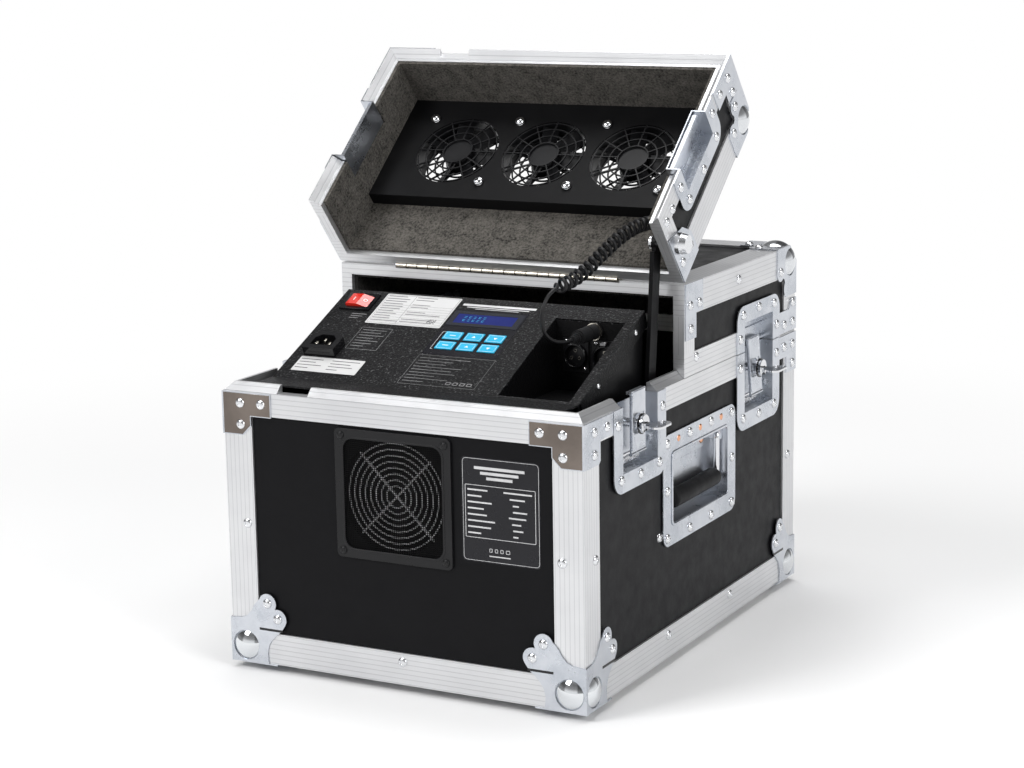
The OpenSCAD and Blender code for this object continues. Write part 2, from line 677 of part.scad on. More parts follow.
// one leaf of the piano hinge: side 0 is the cover's, side 1 the lid's
module piano_leaf(side) {
    total = knuckle_l * knuckle_n;
    difference() {
        union() {
            for (i = [side : 2 : knuckle_n - 1]) {
                translate([hinge_x0 + i * knuckle_l + 0.2, lid_d, hinge_z]) rotate([0, 90, 0])
                    cylinder(r = knuckle_r, h = knuckle_l - 0.4);
                span([hinge_x0 + i * knuckle_l + 0.2, side == 0 ? lid_d : lid_d - 4, case_h],
                    [hinge_x0 + (i + 1) * knuckle_l - 0.2, side == 0 ? lid_d + 4 : lid_d, case_h + 1]);
            }
            span([hinge_x0, side == 0 ? lid_d + 3 : lid_d - 15, case_h],
                [hinge_x0 + total, side == 0 ? lid_d + 15 : lid_d - 3, case_h + 1]);
        }
        if (side == 1) translate([hinge_x0 - 1, lid_d, hinge_z]) rotate([0, 90, 0])
            cylinder(r = pin_r + 0.05, h = total + 2);
    }
}

module cover_rivets() color("#e2e3e6") in_case() {
    side_rivets(-plate, concat(upper_latch_rivets(latch_rear_y),
        [[lid_d + 12, case_h - 21], [lid_d + 33, case_h - 21], [lid_d + 13, case_h - 43]],
        [[case_d - 32, base_h + 10], [case_d - 9, base_h + 10], [case_d - 9, base_h + 30]],
        [[case_d - 41, case_h - 23]]));
    side_rivets(0, [[lid_d + 28, base_h + 16], [lid_d + 130, case_h - 14]]);
    both_sides() back_rivets(case_d + plate, [[16, base_h + 14], [46, base_h + 14], [41, case_h - 23],
        [23, case_h - 41]]);
    both_sides() for (p = [[41, case_d - 23], [23, case_d - 41]]) translate([p[0], p[1], case_h + plate])
        cylinder(r1 = rivet_r, r2 = 3, h = rivet_h);
}

// lid, drawn closed and turned open
module fan_centres() for (i = [-1 : 1]) translate([case_w / 2 + i * fan_pitch, fan_y, 0]) children();

module lid_cuts() {
    tongue_block(0.5);
    upper_latch_cuts(latch_front_y);
    hinge_room();
    corner_balls([case_h - ball_in], [ball_in], ball_r);
    fan_centres() translate([0, 0, case_h - 40]) cylinder(r = fan_bore, h = 60);
    span([58, -1, base_h], [91, wall + 1, base_h + 6.5]);
    anchor_hole();
}

module lid_panels() color("#2a292d") in_lid() difference() {
    span([skin, skin, base_h + rim_h], [case_w - skin, lid_d - rim_h, case_h - skin]);
    span([wall, wall, base_h - 1], [case_w - wall, lid_d, case_h - wall]);
    lid_cuts();
}

module lid_extrusions() color("#c9cacf") in_lid() difference() {
    span([0, 0, base_h + seam_gap], [case_w, lid_d - seam_gap, case_h]);
    span([skin, skin, base_h + rim_h], [case_w - skin, lid_d - rim_h, case_h - skin]);
    span([wall, wall, base_h], [case_w - wall, lid_d, case_h - wall]);
    span([-1, edge_w, base_h + band_h], [case_w + 1, lid_d - 22, case_h - edge_w]);
    span([edge_w, -1, base_h + band_h], [case_w - edge_w, 5, case_h - edge_w]);
    span([edge_w, edge_w, case_h - 5], [case_w - edge_w, lid_d - 22, case_h + 1]);
    lid_cuts();
}

module lid_lining() color("#4a443e") in_lid() difference() {
    span([wall, wall, base_h + 8.5], [case_w - wall, lid_d - 6, case_h - wall]);
    span([wall + 3, wall + 3, base_h], [case_w - wall - 3, lid_d, case_h - wall - 3]);
    upper_latch_cuts(latch_front_y);
    fan_centres() translate([-lid_fan / 2 - 1, -lid_fan / 2 - 1, case_h - 30])
        cube([lid_fan + 2, lid_fan + 2, 30]);
    anchor_hole();
}

module lid_fittings() color("#b9bfc8") in_lid() difference() {
    lid_plates();
    anchor_hole();
}

module anchor_hole() translate([case_w - 30, stay_y, stay_z]) rotate([0, 90, 0])
    cylinder(r = 3.2, h = 40);

module lid_plates() {
    ball_corner(case_h - ball_in, ball_in, 1, -1);
    both_sides() {
        side_sheet(-plate, plate) polygon([[-plate, base_h + 1], [52, base_h + 1],
            [52, base_h + 24], [31, base_h + 24], [31, base_h + 34], [-plate, base_h + 40]]);
        side_sheet(-plate, plate) polygon([[lid_d - 1, case_h], [lid_d - 42, case_h],
            [lid_d - 42, case_h - 26], [lid_d - 30, case_h - 44], [lid_d - 1, case_h - 56]]);
    }
    front_bracket_lid();
    upper_latch_dish(latch_front_y);
    piano_leaf(1);
}

module front_bracket_lid() both_sides() front_sheet(-plate, plate) polygon([[0, base_h + 1],
    [52, base_h + 1], [52, base_h + 23], [30, base_h + 23], [30, base_h + 32], [21, base_h + 40],
    [0, base_h + 40]]);

module lid_fasteners() color("#e2e3e6") in_lid() {
    side_rivets(-plate, concat(upper_latch_rivets(latch_front_y), [[19, base_h + 14],
        [42, base_h + 13], [19, base_h + 32], [23, case_h - 41], [41, case_h - 23],
        [lid_d - 10, case_h - 18], [lid_d - 32, case_h - 18]]));
    side_rivets(0, [[lid_d - 11, base_h + 17], [lid_d - 27, base_h + 17]]);
    both_sides() face_rivets(-plate, [[19, base_h + 12], [41.5, base_h + 12], [19, base_h + 32],
        [23, case_h - 41], [41, case_h - 23]]);
    both_sides() for (p = [[41, 23], [23, 41]]) translate([p[0], p[1], case_h + plate])
        cylinder(r1 = rivet_r, r2 = 3, h = rivet_h);
    fan_centres() for (s = [-1, 1]) translate([s * 41.2, s * 41.2, plate_under - 2.6])
        cylinder(r1 = 3, r2 = 4.2, h = 2.6);
    stay_anchor();
}

module stay_anchor() translate([case_w, stay_y, stay_z]) rotate([0, 90, 0]) {
    translate([0, 0, -25.4]) cylinder(r = 3, h = 35.4);
    translate([0, 0, -25.4]) cylinder(r = 6, h = 2.4);
    translate([0, 0, plate]) cylinder(r = 10.5, h = 5);
    translate([0, 0, plate + 5]) cylinder(r1 = 10, r2 = 8.5, h = 6);
}

module fan_plate() color("#151517") in_lid() difference() {
    union() {
        span([wall + 3.2, wall + 3.2, plate_under], [case_w - wall - 3.2, 145.5, plate_under + sheet]);
        span([wall + 3.2, 144, plate_under + sheet], [case_w - wall - 3.2, 145.5, case_h - wall - 3.2]);
    }
    fan_centres() translate([0, 0, plate_under - 1]) cylinder(r = fan_bore, h = 4);
    translate([339, 143, case_h - 22]) rotate([-90, 0, 0]) cylinder(r = 5, h = 4);
}

module fan_frames() color("#1b1b1d") in_lid() {
    fan_centres() translate([0, 0, plate_under + sheet]) fan_frame(lid_fan, 15, fan_bore, 17);
    fan_centres() translate([0, 0, plate_under]) grille();
    fan_centres() translate([0, 0, case_h - wall - 1.4]) outlet_guard();
}

module grille() {
    for (r = [16, 25, 34, 42]) difference() {
        cylinder(r = r, h = 1.4);
        translate([0, 0, -1]) cylinder(r = r - 1.2, h = 4);
    }
    for (a = [0 : 30 : 330]) rotate([0, 0, a]) translate([15, -0.6, 0]) cube([28.3, 1.2, 1.4]);
}

module outlet_guard() {
    for (r = [14 : 8 : 46]) difference() {
        cylinder(r = r, h = 1.4);
        translate([0, 0, -1]) cylinder(r = r - 1.4, h = 4);
    }
    for (a = [45, 135]) rotate([0, 0, a]) translate([-45.4, -0.8, 0]) cube([90.8, 1.6, 1.4]);
}

module lid_rotor(i) color("#222225") in_lid()
    translate([case_w / 2 + (i - 1) * fan_pitch, fan_y, plate_under + sheet + 0.6])
        rotor(fan_bore, 12, 16, 7);

module lid_stay() color("#101012") {
    top = open_point([stay_y, stay_z]);
    in_case() translate([stay_x, top[0], top[1]]) rotate([-6.4, 0, 0]) difference() {
        union() {
            translate([-stay_t / 2, -stay_w / 2, -stay_l]) cube([stay_t, stay_w, stay_l - 8]);
            translate([-stay_t / 2, -4, -12]) cube([stay_t, 8, 12]);
            translate([-stay_t / 2, 0, 0]) rotate([0, 90, 0]) cylinder(r = 6, h = stay_t);
        }
        translate([-stay_t, 0, 0]) rotate([0, 90, 0]) cylinder(r = 3.05, h = 2 * stay_t);
        translate([-stay_t / 2 - 1, -stay_w / 2 + 2, -stay_l + 8])
            cube([stay_t - 1, stay_w - 4, stay_l - 28]);
    }
}

// where a point of the closed lid, as [y, z], stands when the lid is open
function open_point(p) = [
    lid_d + cos(lid_open) * (p[0] - lid_d) + sin(lid_open) * (p[1] - hinge_z),
    hinge_z - sin(lid_open) * (p[0] - lid_d) + cos(lid_open) * (p[1] - hinge_z)];

// latches: the tilting hook plate with its rolled lower end, the knob and the folding wing
module latch_hook(y, right, shut) color("#c3c8cf") in_case() on_side(right)
    translate([hook_axis[0], y, hook_axis[1]]) rotate([0, shut ? hook_tilt : 0, 0])
    translate([-hook_axis[0], 0, -hook_axis[1]]) {
        difference() {
            union() {
                span([1, -hook_w / 2, hook_axis[1]], [2.6, hook_w / 2, base_h + 9]);
                span([1, -hook_w / 2, base_h + 6.5], [6.1, hook_w / 2, base_h + 9]);
            }
            translate([0, 0, knob_z + 1.5]) rotate([0, 90, 0]) cylinder(r = 8, h = 4);
        }
        translate([hook_axis[0], hook_w / 2, hook_axis[1]]) rotate([90, 0, 0])
            cylinder(r = 1.6, h = hook_w);
    }

module latch_knob(y, right) color("#b4b8bf") in_case() on_side(right)
    translate([0, y, knob_z]) difference() {
        union() {
            translate([-6, 0, 0]) rotate([0, 90, 0]) cylinder(r = barrel_r, h = 5.4);
            translate([-0.6, 0, 0]) rotate([0, 90, 0]) cylinder(r = 4, h = dish_deep + 2);
        }
        translate([-7, -neck_w / 2 - 0.3, -10]) cube([5.2, neck_w + 0.6, 11.6]);
        translate([wing_pin_x, 10, 0]) rotate([90, 0, 0]) cylinder(r = wing_pin_r + 0.05, h = 20);
    }

module latch_wing(y, right) color("#c9c6c0") in_case() on_side(right)
    translate([0, y, knob_z]) {
        translate([wing_pin_x, 7, 0]) rotate([90, 0, 0]) cylinder(r = wing_pin_r, h = 14);
        translate([0, 0, -wing_t / 2]) linear_extrude(wing_t) difference() {
            union() {
                translate([-wing_tip + 12, -neck_w / 2]) square([wing_tip - 12 + wing_pin_x, neck_w]);
                rounded([-wing_tip, -wing_w / 2], [-wing_tip + 14, wing_w / 2], 6.9);
            }
            for (v = [-9, 0, 9]) translate([-wing_tip + 6, v]) circle(1.6);
        }
    }

// fan lead
function unit(v) = v / norm(v);

function smooth(p, n) = [for (i = [0 : len(p) - 2], k = [0 : n - 1])
    let (t = k / n, a = p[max(i - 1, 0)], b = p[i], c = p[i + 1], d = p[min(i + 2, len(p) - 1)])
        0.5 * (2 * b + (c - a) * t + (2 * a - 5 * b + 4 * c - d) * t * t
            + (3 * b - a - 3 * c + d) * t * t * t), p[len(p) - 1]];

module tube(p, r, sides) {
    n = len(p);
    side_dir = unit(cross(p[n - 1] - p[0], [0, 0, 1]));
    rings = [for (i = [0 : n - 1])
        let (t = unit(p[min(i + 1, n - 1)] - p[max(i - 1, 0)]), u = unit(side_dir - (side_dir * t) * t),
            v = cross(t, u))
            for (k = [0 : sides - 1]) p[i] + r * (cos(k * 360 / sides) * u + sin(k * 360 / sides) * v)];
    walls = [for (i = [0 : n - 2], k = [0 : sides - 1])
        let (a = i * sides + k, b = i * sides + (k + 1) % sides) [a, a + sides, b + sides, b]];
    polyhedron(rings, concat(walls, [[for (k = [0 : sides - 1]) k],
        [for (k = [sides - 1 : -1 : 0]) (n - 1) * sides + k]]));
}

module cord_coil() color("#1a1a1c") in_case() tube(smooth(coil_path, 2), coil_r, 12);

module cord_tail() color("#1a1a1c") in_case() tube(smooth(tail_path, 3), lead_r, 8);

module fan_plug() color("#1d1d20") in_case() translate([304, 112, 308]) rotate([-90, 0, 0]) {
    cylinder(r1 = 3.2, r2 = 4.2, h = 12);
    translate([0, 0, 12]) cylinder(r = 7, h = socket_y - 2.2 - 124);
    translate([0, 0, socket_y - 2.4 - 112]) cylinder(r = 3, h = 12);
}

base_panels();
base_extrusions();
base_fittings();
base_rivets();
rubber_feet();
base_latch_dishes();
handle_dishes();
filter_frame();
finger_guard();
intake_fan_frame();
chassis();
control_panel();
display_module();
power_inlet();
switch_bezel();
panel_sockets();
fluid_tank();
fog_engine();
control_board();
cover_panels();
cover_extrusions();
cover_fittings();
cover_rivets();
cover_lining();
lid_panels();
lid_extrusions();
lid_fittings();
lid_fasteners();
lid_lining();
fan_plate();
fan_frames();
cord_tail();
cord_coil();
fan_plug();
latch_hook(latch_front_y, false, false);  // latch_hook_front_left
latch_hook(latch_front_y, true, false);  // latch_hook_front_right
latch_hook(latch_rear_y, false, true);  // latch_hook_rear_left
latch_hook(latch_rear_y, true, true);  // latch_hook_rear_right
latch_knob(latch_front_y, false);  // latch_knob_front_left
latch_knob(latch_front_y, true);  // latch_knob_front_right
latch_knob(latch_rear_y, false);  // latch_knob_rear_left
latch_knob(latch_rear_y, true);  // latch_knob_rear_right
latch_wing(latch_front_y, false);  // latch_wing_front_left
latch_wing(latch_front_y, true);  // latch_wing_front_right
latch_wing(latch_rear_y, false);  // latch_wing_rear_left
latch_wing(latch_rear_y, true);  // latch_wing_rear_right
handle(false);  // handle_left
handle(true);  // handle_right
key(0);  // key_1
key(1);  // key_2
key(2);  // key_3
key(3);  // key_4
key(4);  // key_5
key(5);  // key_6
lid_rotor(0);  // lid_rotor_left
lid_rotor(1);  // lid_rotor_middle
lid_rotor(2);  // lid_rotor_right
intake_rotor();
power_rocker();
lid_stay();
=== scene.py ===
import math
import random

import bpy
from mathutils import Matrix, Vector


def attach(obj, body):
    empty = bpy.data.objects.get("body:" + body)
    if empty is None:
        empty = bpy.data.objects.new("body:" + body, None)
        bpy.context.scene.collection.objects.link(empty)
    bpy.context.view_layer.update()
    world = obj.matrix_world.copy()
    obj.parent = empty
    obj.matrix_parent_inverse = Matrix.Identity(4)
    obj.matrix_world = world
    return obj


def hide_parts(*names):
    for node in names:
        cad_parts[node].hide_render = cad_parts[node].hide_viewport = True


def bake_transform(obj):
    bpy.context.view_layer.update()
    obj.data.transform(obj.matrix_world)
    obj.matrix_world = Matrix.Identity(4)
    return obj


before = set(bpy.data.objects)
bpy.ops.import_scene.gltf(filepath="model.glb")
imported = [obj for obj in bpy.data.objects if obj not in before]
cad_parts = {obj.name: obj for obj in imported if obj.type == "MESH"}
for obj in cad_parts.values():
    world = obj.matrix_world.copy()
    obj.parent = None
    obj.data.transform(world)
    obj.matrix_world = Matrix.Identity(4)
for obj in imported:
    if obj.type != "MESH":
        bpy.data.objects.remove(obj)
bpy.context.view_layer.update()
random.seed(7)

# ---------------------------------------------------------------- frame of the case
# millimetres from one lower corner of the case: its size, the seam, the lid hinge, feet and bracket plates
W, D, H, SEAM = 370.0, 490.0, 347.0, 259.0
HINGE_Y, HINGE_Z = 211.0, 348.0
FOOT, PLATE = 8.0, 1.2
MM = Matrix.Translation((-W / 2000, -D / 2000, FOOT / 1000)) @ Matrix.Scale(0.001, 4)
# the lid stands open; LID places what is measured on the closed lid
OPEN = math.radians(140)
LID = (MM @ Matrix.Translation((0, HINGE_Y, HINGE_Z)) @ Matrix.Rotation(-OPEN, 4, "X")
       @ Matrix.Translation((0, -HINGE_Y, -HINGE_Z)))
# the control panel's face, sloping up from its front edge
SLOPE = math.radians(24)
PANEL_EDGE = (0, 43.4, 265)
PANEL_MM = Matrix.Translation(PANEL_EDGE) @ Matrix.Rotation(SLOPE, 4, "X")
PANEL = MM @ PANEL_MM
# ball corners: centre in from each face, and radius with a little to spare
BALL_IN, BALL_R = 15.5, 21.08
# middles of the latches along the side, of the side handles, and of the air intake
FRONT_LATCH, REAR_LATCH = 113.0, 391.0
HANDLE_Y, HANDLE_Z = 249.0, 160.0
FAN_X, FAN_Z = 179.5, 174.0
# the two rivets of a lower corner bracket, from the corner
LOWER = [(40.5, 58.5), (51.5, 44.5)]


def row(p):
    return MM @ Vector(p)


HINGE_AT = tuple(row((W / 2, HINGE_Y, HINGE_Z)))


# ---------------------------------------------------------------- camera
az, el, roll = math.radians(28.163), math.radians(11.61), math.radians(-0.96)
back = Vector((math.sin(az) * math.cos(el), -math.cos(az) * math.cos(el), math.sin(el)))
right = (-back).cross(Vector((0, 0, 1))).normalized()
up = right.cross(-back)
level_x = right * math.cos(roll) + up * math.sin(roll)
level_y = -right * math.sin(roll) + up * math.cos(roll)
cam_data = bpy.data.cameras.new("camera")
cam_data.lens = 83.74
cam_data.sensor_width = 36
cam_data.clip_end = 30
cam = bpy.data.objects.new("camera", cam_data)
bpy.context.scene.collection.objects.link(cam)
place = Vector((1.0651, -2.0158, 0.7093))
cam.matrix_world = Matrix([(level_x[i], level_y[i], back[i], place[i]) for i in range(3)] + [(0, 0, 0, 1)])
bpy.context.scene.camera = cam


# ---------------------------------------------------------------- materials
def nodes_of(name):
    m = bpy.data.materials.new(name)
    m.use_nodes = True
    t = m.node_tree
    return m, t, t.nodes["Principled BSDF"]


def coords(t, tilt=False):
    """Object coordinates in metres; for the lid they are turned back to the closed case."""
    c = t.nodes.new("ShaderNodeTexCoord")
    if not tilt:
        return c.outputs["Object"]
    sub = t.nodes.new("ShaderNodeVectorMath")
    sub.operation = "SUBTRACT"
    sub.inputs[1].default_value = HINGE_AT
    rot = t.nodes.new("ShaderNodeVectorRotate")
    rot.rotation_type = "X_AXIS"
    rot.inputs["Angle"].default_value = OPEN
    add = t.nodes.new("ShaderNodeVectorMath")
    add.operation = "ADD"
    add.inputs[1].default_value = HINGE_AT
    t.links.new(c.outputs["Object"], sub.inputs[0])
    t.links.new(sub.outputs[0], rot.inputs["Vector"])
    t.links.new(rot.outputs[0], add.inputs[0])
    return add.outputs[0]


def noise(t, vec, scale, detail=4, rough=0.6):
    n = t.nodes.new("ShaderNodeTexNoise")
    n.inputs["Scale"].default_value = scale
    n.inputs["Detail"].default_value = detail
    n.inputs["Roughness"].default_value = rough
    t.links.new(vec, n.inputs["Vector"])
    return n.outputs["Fac"]


def ramp(t, fac, stops):
    r = t.nodes.new("ShaderNodeValToRGB")
    e = r.color_ramp.elements
    while len(e) < len(stops):
        e.new(0.5)
    for k, (p, c) in zip(e, stops):
        k.position = p
        k.color = (*c, 1) if isinstance(c, tuple) else (c, c, c, 1)
    t.links.new(fac, r.inputs["Fac"])
    return r.outputs["Color"]


def bump(t, b, fac, strength, distance=0.001, below=None):
    n = t.nodes.new("ShaderNodeBump")
    n.inputs["Strength"].default_value = strength
    n.inputs["Distance"].default_value = distance
    t.links.new(fac, n.inputs["Height"])
    if below is not None:
        t.links.new(below, n.inputs["Normal"])
    t.links.new(n.outputs["Normal"], b.inputs["Normal"])
    return n.outputs["Normal"]


def math_node(t, op, a, b=None, c=None):
    n = t.nodes.new("ShaderNodeMath")
    n.operation = op
    for i, v in enumerate((a, b, c)):
        if v is None:
            continue
        if isinstance(v, (int, float)):
            n.inputs[i].default_value = v
        else:
            t.links.new(v, n.inputs[i])
    return n.outputs[0]


def split(t, vec):
    sep = t.nodes.new("ShaderNodeSeparateXYZ")
    t.links.new(vec, sep.inputs[0])
    return sep.outputs


def simple(name, color, rough, metal=0.0, grain=(400, 0.05), vary=0.08, coat=0.0, tilt=False, sheen=0.0,
           spec=0.5):
    m, t, b = nodes_of(name)
    v = coords(t, tilt)
    f = noise(t, v, 25, 3)
    lo = tuple(x * (1 - vary) for x in color)
    hi = tuple(min(1, x * (1 + vary)) for x in color)
    t.links.new(ramp(t, f, [(0.35, lo), (0.65, hi)]), b.inputs["Base Color"])
    r = ramp(t, noise(t, v, 60, 4), [(0.3, max(0.02, rough - 0.06)), (0.7, min(1, rough + 0.07))])
    t.links.new(r, b.inputs["Roughness"])
    b.inputs["Metallic"].default_value = metal
    b.inputs["Coat Weight"].default_value = coat
    b.inputs["Coat Roughness"].default_value = 0.08
    b.inputs["Sheen Weight"].default_value = sheen
    b.inputs["Specular IOR Level"].default_value = spec
    if grain:
        bump(t, b, noise(t, v, grain[0], 3, 0.6), grain[1])
    return m


def mix_value(t, fac, a, b):
    n = t.nodes.new("ShaderNodeMix")
    t.links.new(fac, n.inputs["Factor"])
    t.links.new(a, n.inputs["A"])
    t.links.new(b, n.inputs["B"])
    return n.outputs["Result"]


def mix_color(t, fac, a, b, blend="MIX"):
    n = t.nodes.new("ShaderNodeMix")
    n.data_type = "RGBA"
    n.blend_type = blend
    t.links.new(fac, n.inputs["Factor"])
    for key, v in (("A", a), ("B", b)):
        if isinstance(v, tuple):
            n.inputs[key].default_value = (*v, 1)
        else:
            t.links.new(v, n.inputs[key])
    return n.outputs["Result"]


def aluminium(name, tilt=False):
    """Satin extrusion with fine ribs that run along each profile, and painted shade in the grooves between
    them.
    """
    rib, fine_rib = 0.0046, 0.0011
    m, t, b = nodes_of(name)
    v = coords(t, tilt)
    x, y, z = split(t, v)
    # distances from the middle planes of the case, in metres
    ax = math_node(t, "ABSOLUTE", x)
    ay = math_node(t, "ABSOLUTE", y)
    hz = math_node(t, "SUBTRACT", z, 0.008)
    low = math_node(t, "LESS_THAN", hz, 0.030)
    top_band = math_node(t, "MULTIPLY", math_node(t, "GREATER_THAN", hz, 0.237),
                         math_node(t, "LESS_THAN", hz, 0.2811))
    crown = math_node(t, "GREATER_THAN", hz, 0.3165)
    level = math_node(t, "MAXIMUM", math_node(t, "MAXIMUM", low, top_band), crown)
    # along a horizontal profile the ribs follow height, along an upright one they follow x plus y
    flat_sum = math_node(t, "ADD", ax, ay)
    top_face = math_node(t, "GREATER_THAN", hz, 0.3468)
    edge_pos = math_node(t, "MAXIMUM", ax, math_node(t, "SUBTRACT", ay, 0.060))
    across = mix_value(t, top_face, mix_value(t, level, flat_sum, hz), edge_pos)
    wave = math_node(t, "SINE", math_node(t, "MULTIPLY", across, 2 * math.pi / rib))
    grooves = math_node(t, "GREATER_THAN", wave, 0.86)
    ripple = math_node(t, "SINE", math_node(t, "MULTIPLY", across, 2 * math.pi / fine_rib))
    fine = math_node(t, "MULTIPLY", ripple, 0.10)
    height = math_node(t, "ADD", math_node(t, "MULTIPLY", grooves, -1.0), fine)
    base = ramp(t, noise(t, v, 9, 4), [(0.3, (0.68, 0.685, 0.70)), (0.7, (0.77, 0.775, 0.785))])
    # the recessed grooves are darkened in colour: painted shade in the grooves
    shade = mix_color(t, math_node(t, "MULTIPLY", grooves, 0.30), base, (0.45, 0.45, 0.47), "MULTIPLY")
    t.links.new(shade, b.inputs["Base Color"])
    b.inputs["Metallic"].default_value = 0.86
    t.links.new(ramp(t, noise(t, v, 40, 5), [(0.3, 0.33), (0.7, 0.43)]), b.inputs["Roughness"])
    first = bump(t, b, height, 0.35, 0.0004)
    bump(t, b, noise(t, v, 500, 2), 0.03, 0.0005, first)
    return m


def fittings(name, tilt=False):
    """Zinc plate, with chrome on the ball corners and nickel on the piano hinge, and painted shade in the
    gaps between the hinge's knuckles.
    """
    hinge_half, hinge_low, leaf = 0.1215, 0.3535, 0.0165
    knuckle, pin_half = 0.012, 0.0036
    m, t, b = nodes_of(name)
    v = coords(t, tilt)
    x, y, z = split(t, v)
    ax, ay = math_node(t, "ABSOLUTE", x), math_node(t, "ABSOLUTE", y)
    dx = math_node(t, "SUBTRACT", ax, (W / 2 - BALL_IN) / 1000)
    dy = math_node(t, "SUBTRACT", ay, (D / 2 - BALL_IN) / 1000)
    low, high = (FOOT + BALL_IN) / 1000, (FOOT + H - BALL_IN) / 1000
    dz = math_node(t, "MINIMUM", math_node(t, "ABSOLUTE", math_node(t, "SUBTRACT", z, low)),
                   math_node(t, "ABSOLUTE", math_node(t, "SUBTRACT", z, high)))
    flat = math_node(t, "MULTIPLY_ADD", dy, dy, math_node(t, "MULTIPLY", dz, dz))
    ball = math_node(t, "LESS_THAN", math_node(t, "MULTIPLY_ADD", dx, dx, flat), (BALL_R / 1000) ** 2)
    off_hinge = math_node(t, "ABSOLUTE", math_node(t, "SUBTRACT", y, HINGE_AT[1]))
    on_leaf = math_node(t, "MULTIPLY", math_node(t, "GREATER_THAN", z, hinge_low),
                        math_node(t, "LESS_THAN", off_hinge, leaf))
    hinge = math_node(t, "MULTIPLY", math_node(t, "LESS_THAN", ax, hinge_half), on_leaf)
    # near-black stripes across the hinge at each knuckle joint: painted shade in the gaps
    along = math_node(t, "FRACT", math_node(t, "DIVIDE", math_node(t, "ADD", x, 0.122), knuckle))
    painted_gap_shade = math_node(t, "MULTIPLY", math_node(t, "LESS_THAN", along, 0.07),
                    math_node(t, "LESS_THAN", off_hinge, pin_half))
    f = noise(t, v, 22, 5, 0.65)
    fine = noise(t, v, 300, 3)
    plain = ramp(t, f, [(0.32, (0.47, 0.50, 0.55)), (0.52, (0.61, 0.635, 0.68)), (0.7, (0.68, 0.70, 0.74))])
    warm = ramp(t, f, [(0.3, (0.42, 0.39, 0.33)), (0.7, (0.60, 0.56, 0.49))])
    c = mix_color(t, hinge, plain, mix_color(t, painted_gap_shade, warm, (0.02, 0.02, 0.02)))
    t.links.new(mix_color(t, ball, c, (0.74, 0.76, 0.78)), b.inputs["Base Color"])
    b.inputs["Metallic"].default_value = 0.97
    rough = math_node(t, "MULTIPLY_ADD", ball, -0.19, math_node(t, "MULTIPLY_ADD", f, 0.16, 0.20))
    t.links.new(math_node(t, "MAXIMUM", rough, 0.06), b.inputs["Roughness"])
    soft = math_node(t, "MULTIPLY", math_node(t, "SUBTRACT", 1.0, ball), math_node(t, "ADD", fine, f))
    bump(t, b, soft, 0.10, 0.0008)
    return m


def felt(name, dark, light, tilt=False):
    """Needle felt: short matted fibres, with cloudier patches."""
    m, t, b = nodes_of(name)
    v = coords(t, tilt)
    a = noise(t, v, 420, 6, 0.75)
    c = noise(t, v, 90, 4, 0.7)
    k = math_node(t, "ADD", math_node(t, "MULTIPLY", a, 0.7), math_node(t, "MULTIPLY", c, 0.3))
    middle = tuple(0.5 * (p + q) for p, q in zip(dark, light))
    t.links.new(ramp(t, k, [(0.38, dark), (0.50, middle), (0.66, light)]), b.inputs["Base Color"])
    b.inputs["Roughness"].default_value = 0.95
    b.inputs["Sheen Weight"].default_value = 0.06
    b.inputs["Specular IOR Level"].default_value = 0.08
    bump(t, b, k, 0.9, 0.002)
    return m


def painted_glint_coat(name):
    """Wrinkle powder coat of the panel: tiny raised grains, with light specks painted into the colour as
    painted highlights where the grains catch the light.
    """
    m, t, b = nodes_of(name)
    v = coords(t)
    vo = t.nodes.new("ShaderNodeTexVoronoi")
    vo.inputs["Scale"].default_value = 620
    t.links.new(v, vo.inputs["Vector"])
    grain = math_node(t, "SUBTRACT", 1.0, vo.outputs["Distance"])
    n = noise(t, v, 480, 3, 0.7)
    black = (0.0045, 0.0045, 0.005)
    # the lightest specks of this ramp are painted highlights of the grains, not a colour of the coat
    coat = ramp(t, n, [(0.47, black), (0.60, (0.014, 0.014, 0.015)), (0.70, (0.15, 0.15, 0.155))])
    # only the sloped face is coated; the pocket and the edges below it are plain black
    x, y, z = split(t, v)
    edge = row(PANEL_EDGE)
    inward, upward = math_node(t, "SUBTRACT", y, edge.y), math_node(t, "SUBTRACT", z, edge.z)
    depth = math_node(t, "ADD", math_node(t, "MULTIPLY", inward, -math.sin(SLOPE)),
                      math_node(t, "MULTIPLY", upward, math.cos(SLOPE)))
    face = math_node(t, "GREATER_THAN", depth, -0.0017)
    t.links.new(mix_color(t, face, black, coat), b.inputs["Base Color"])
    t.links.new(ramp(t, n, [(0.4, 0.45), (0.7, 0.3)]), b.inputs["Roughness"])
    b.inputs["Specular IOR Level"].default_value = 0.13
    h = math_node(t, "ADD", math_node(t, "MULTIPLY", grain, 0.6), n)
    bump(t, b, h, 0.55, 0.0007)
    return m


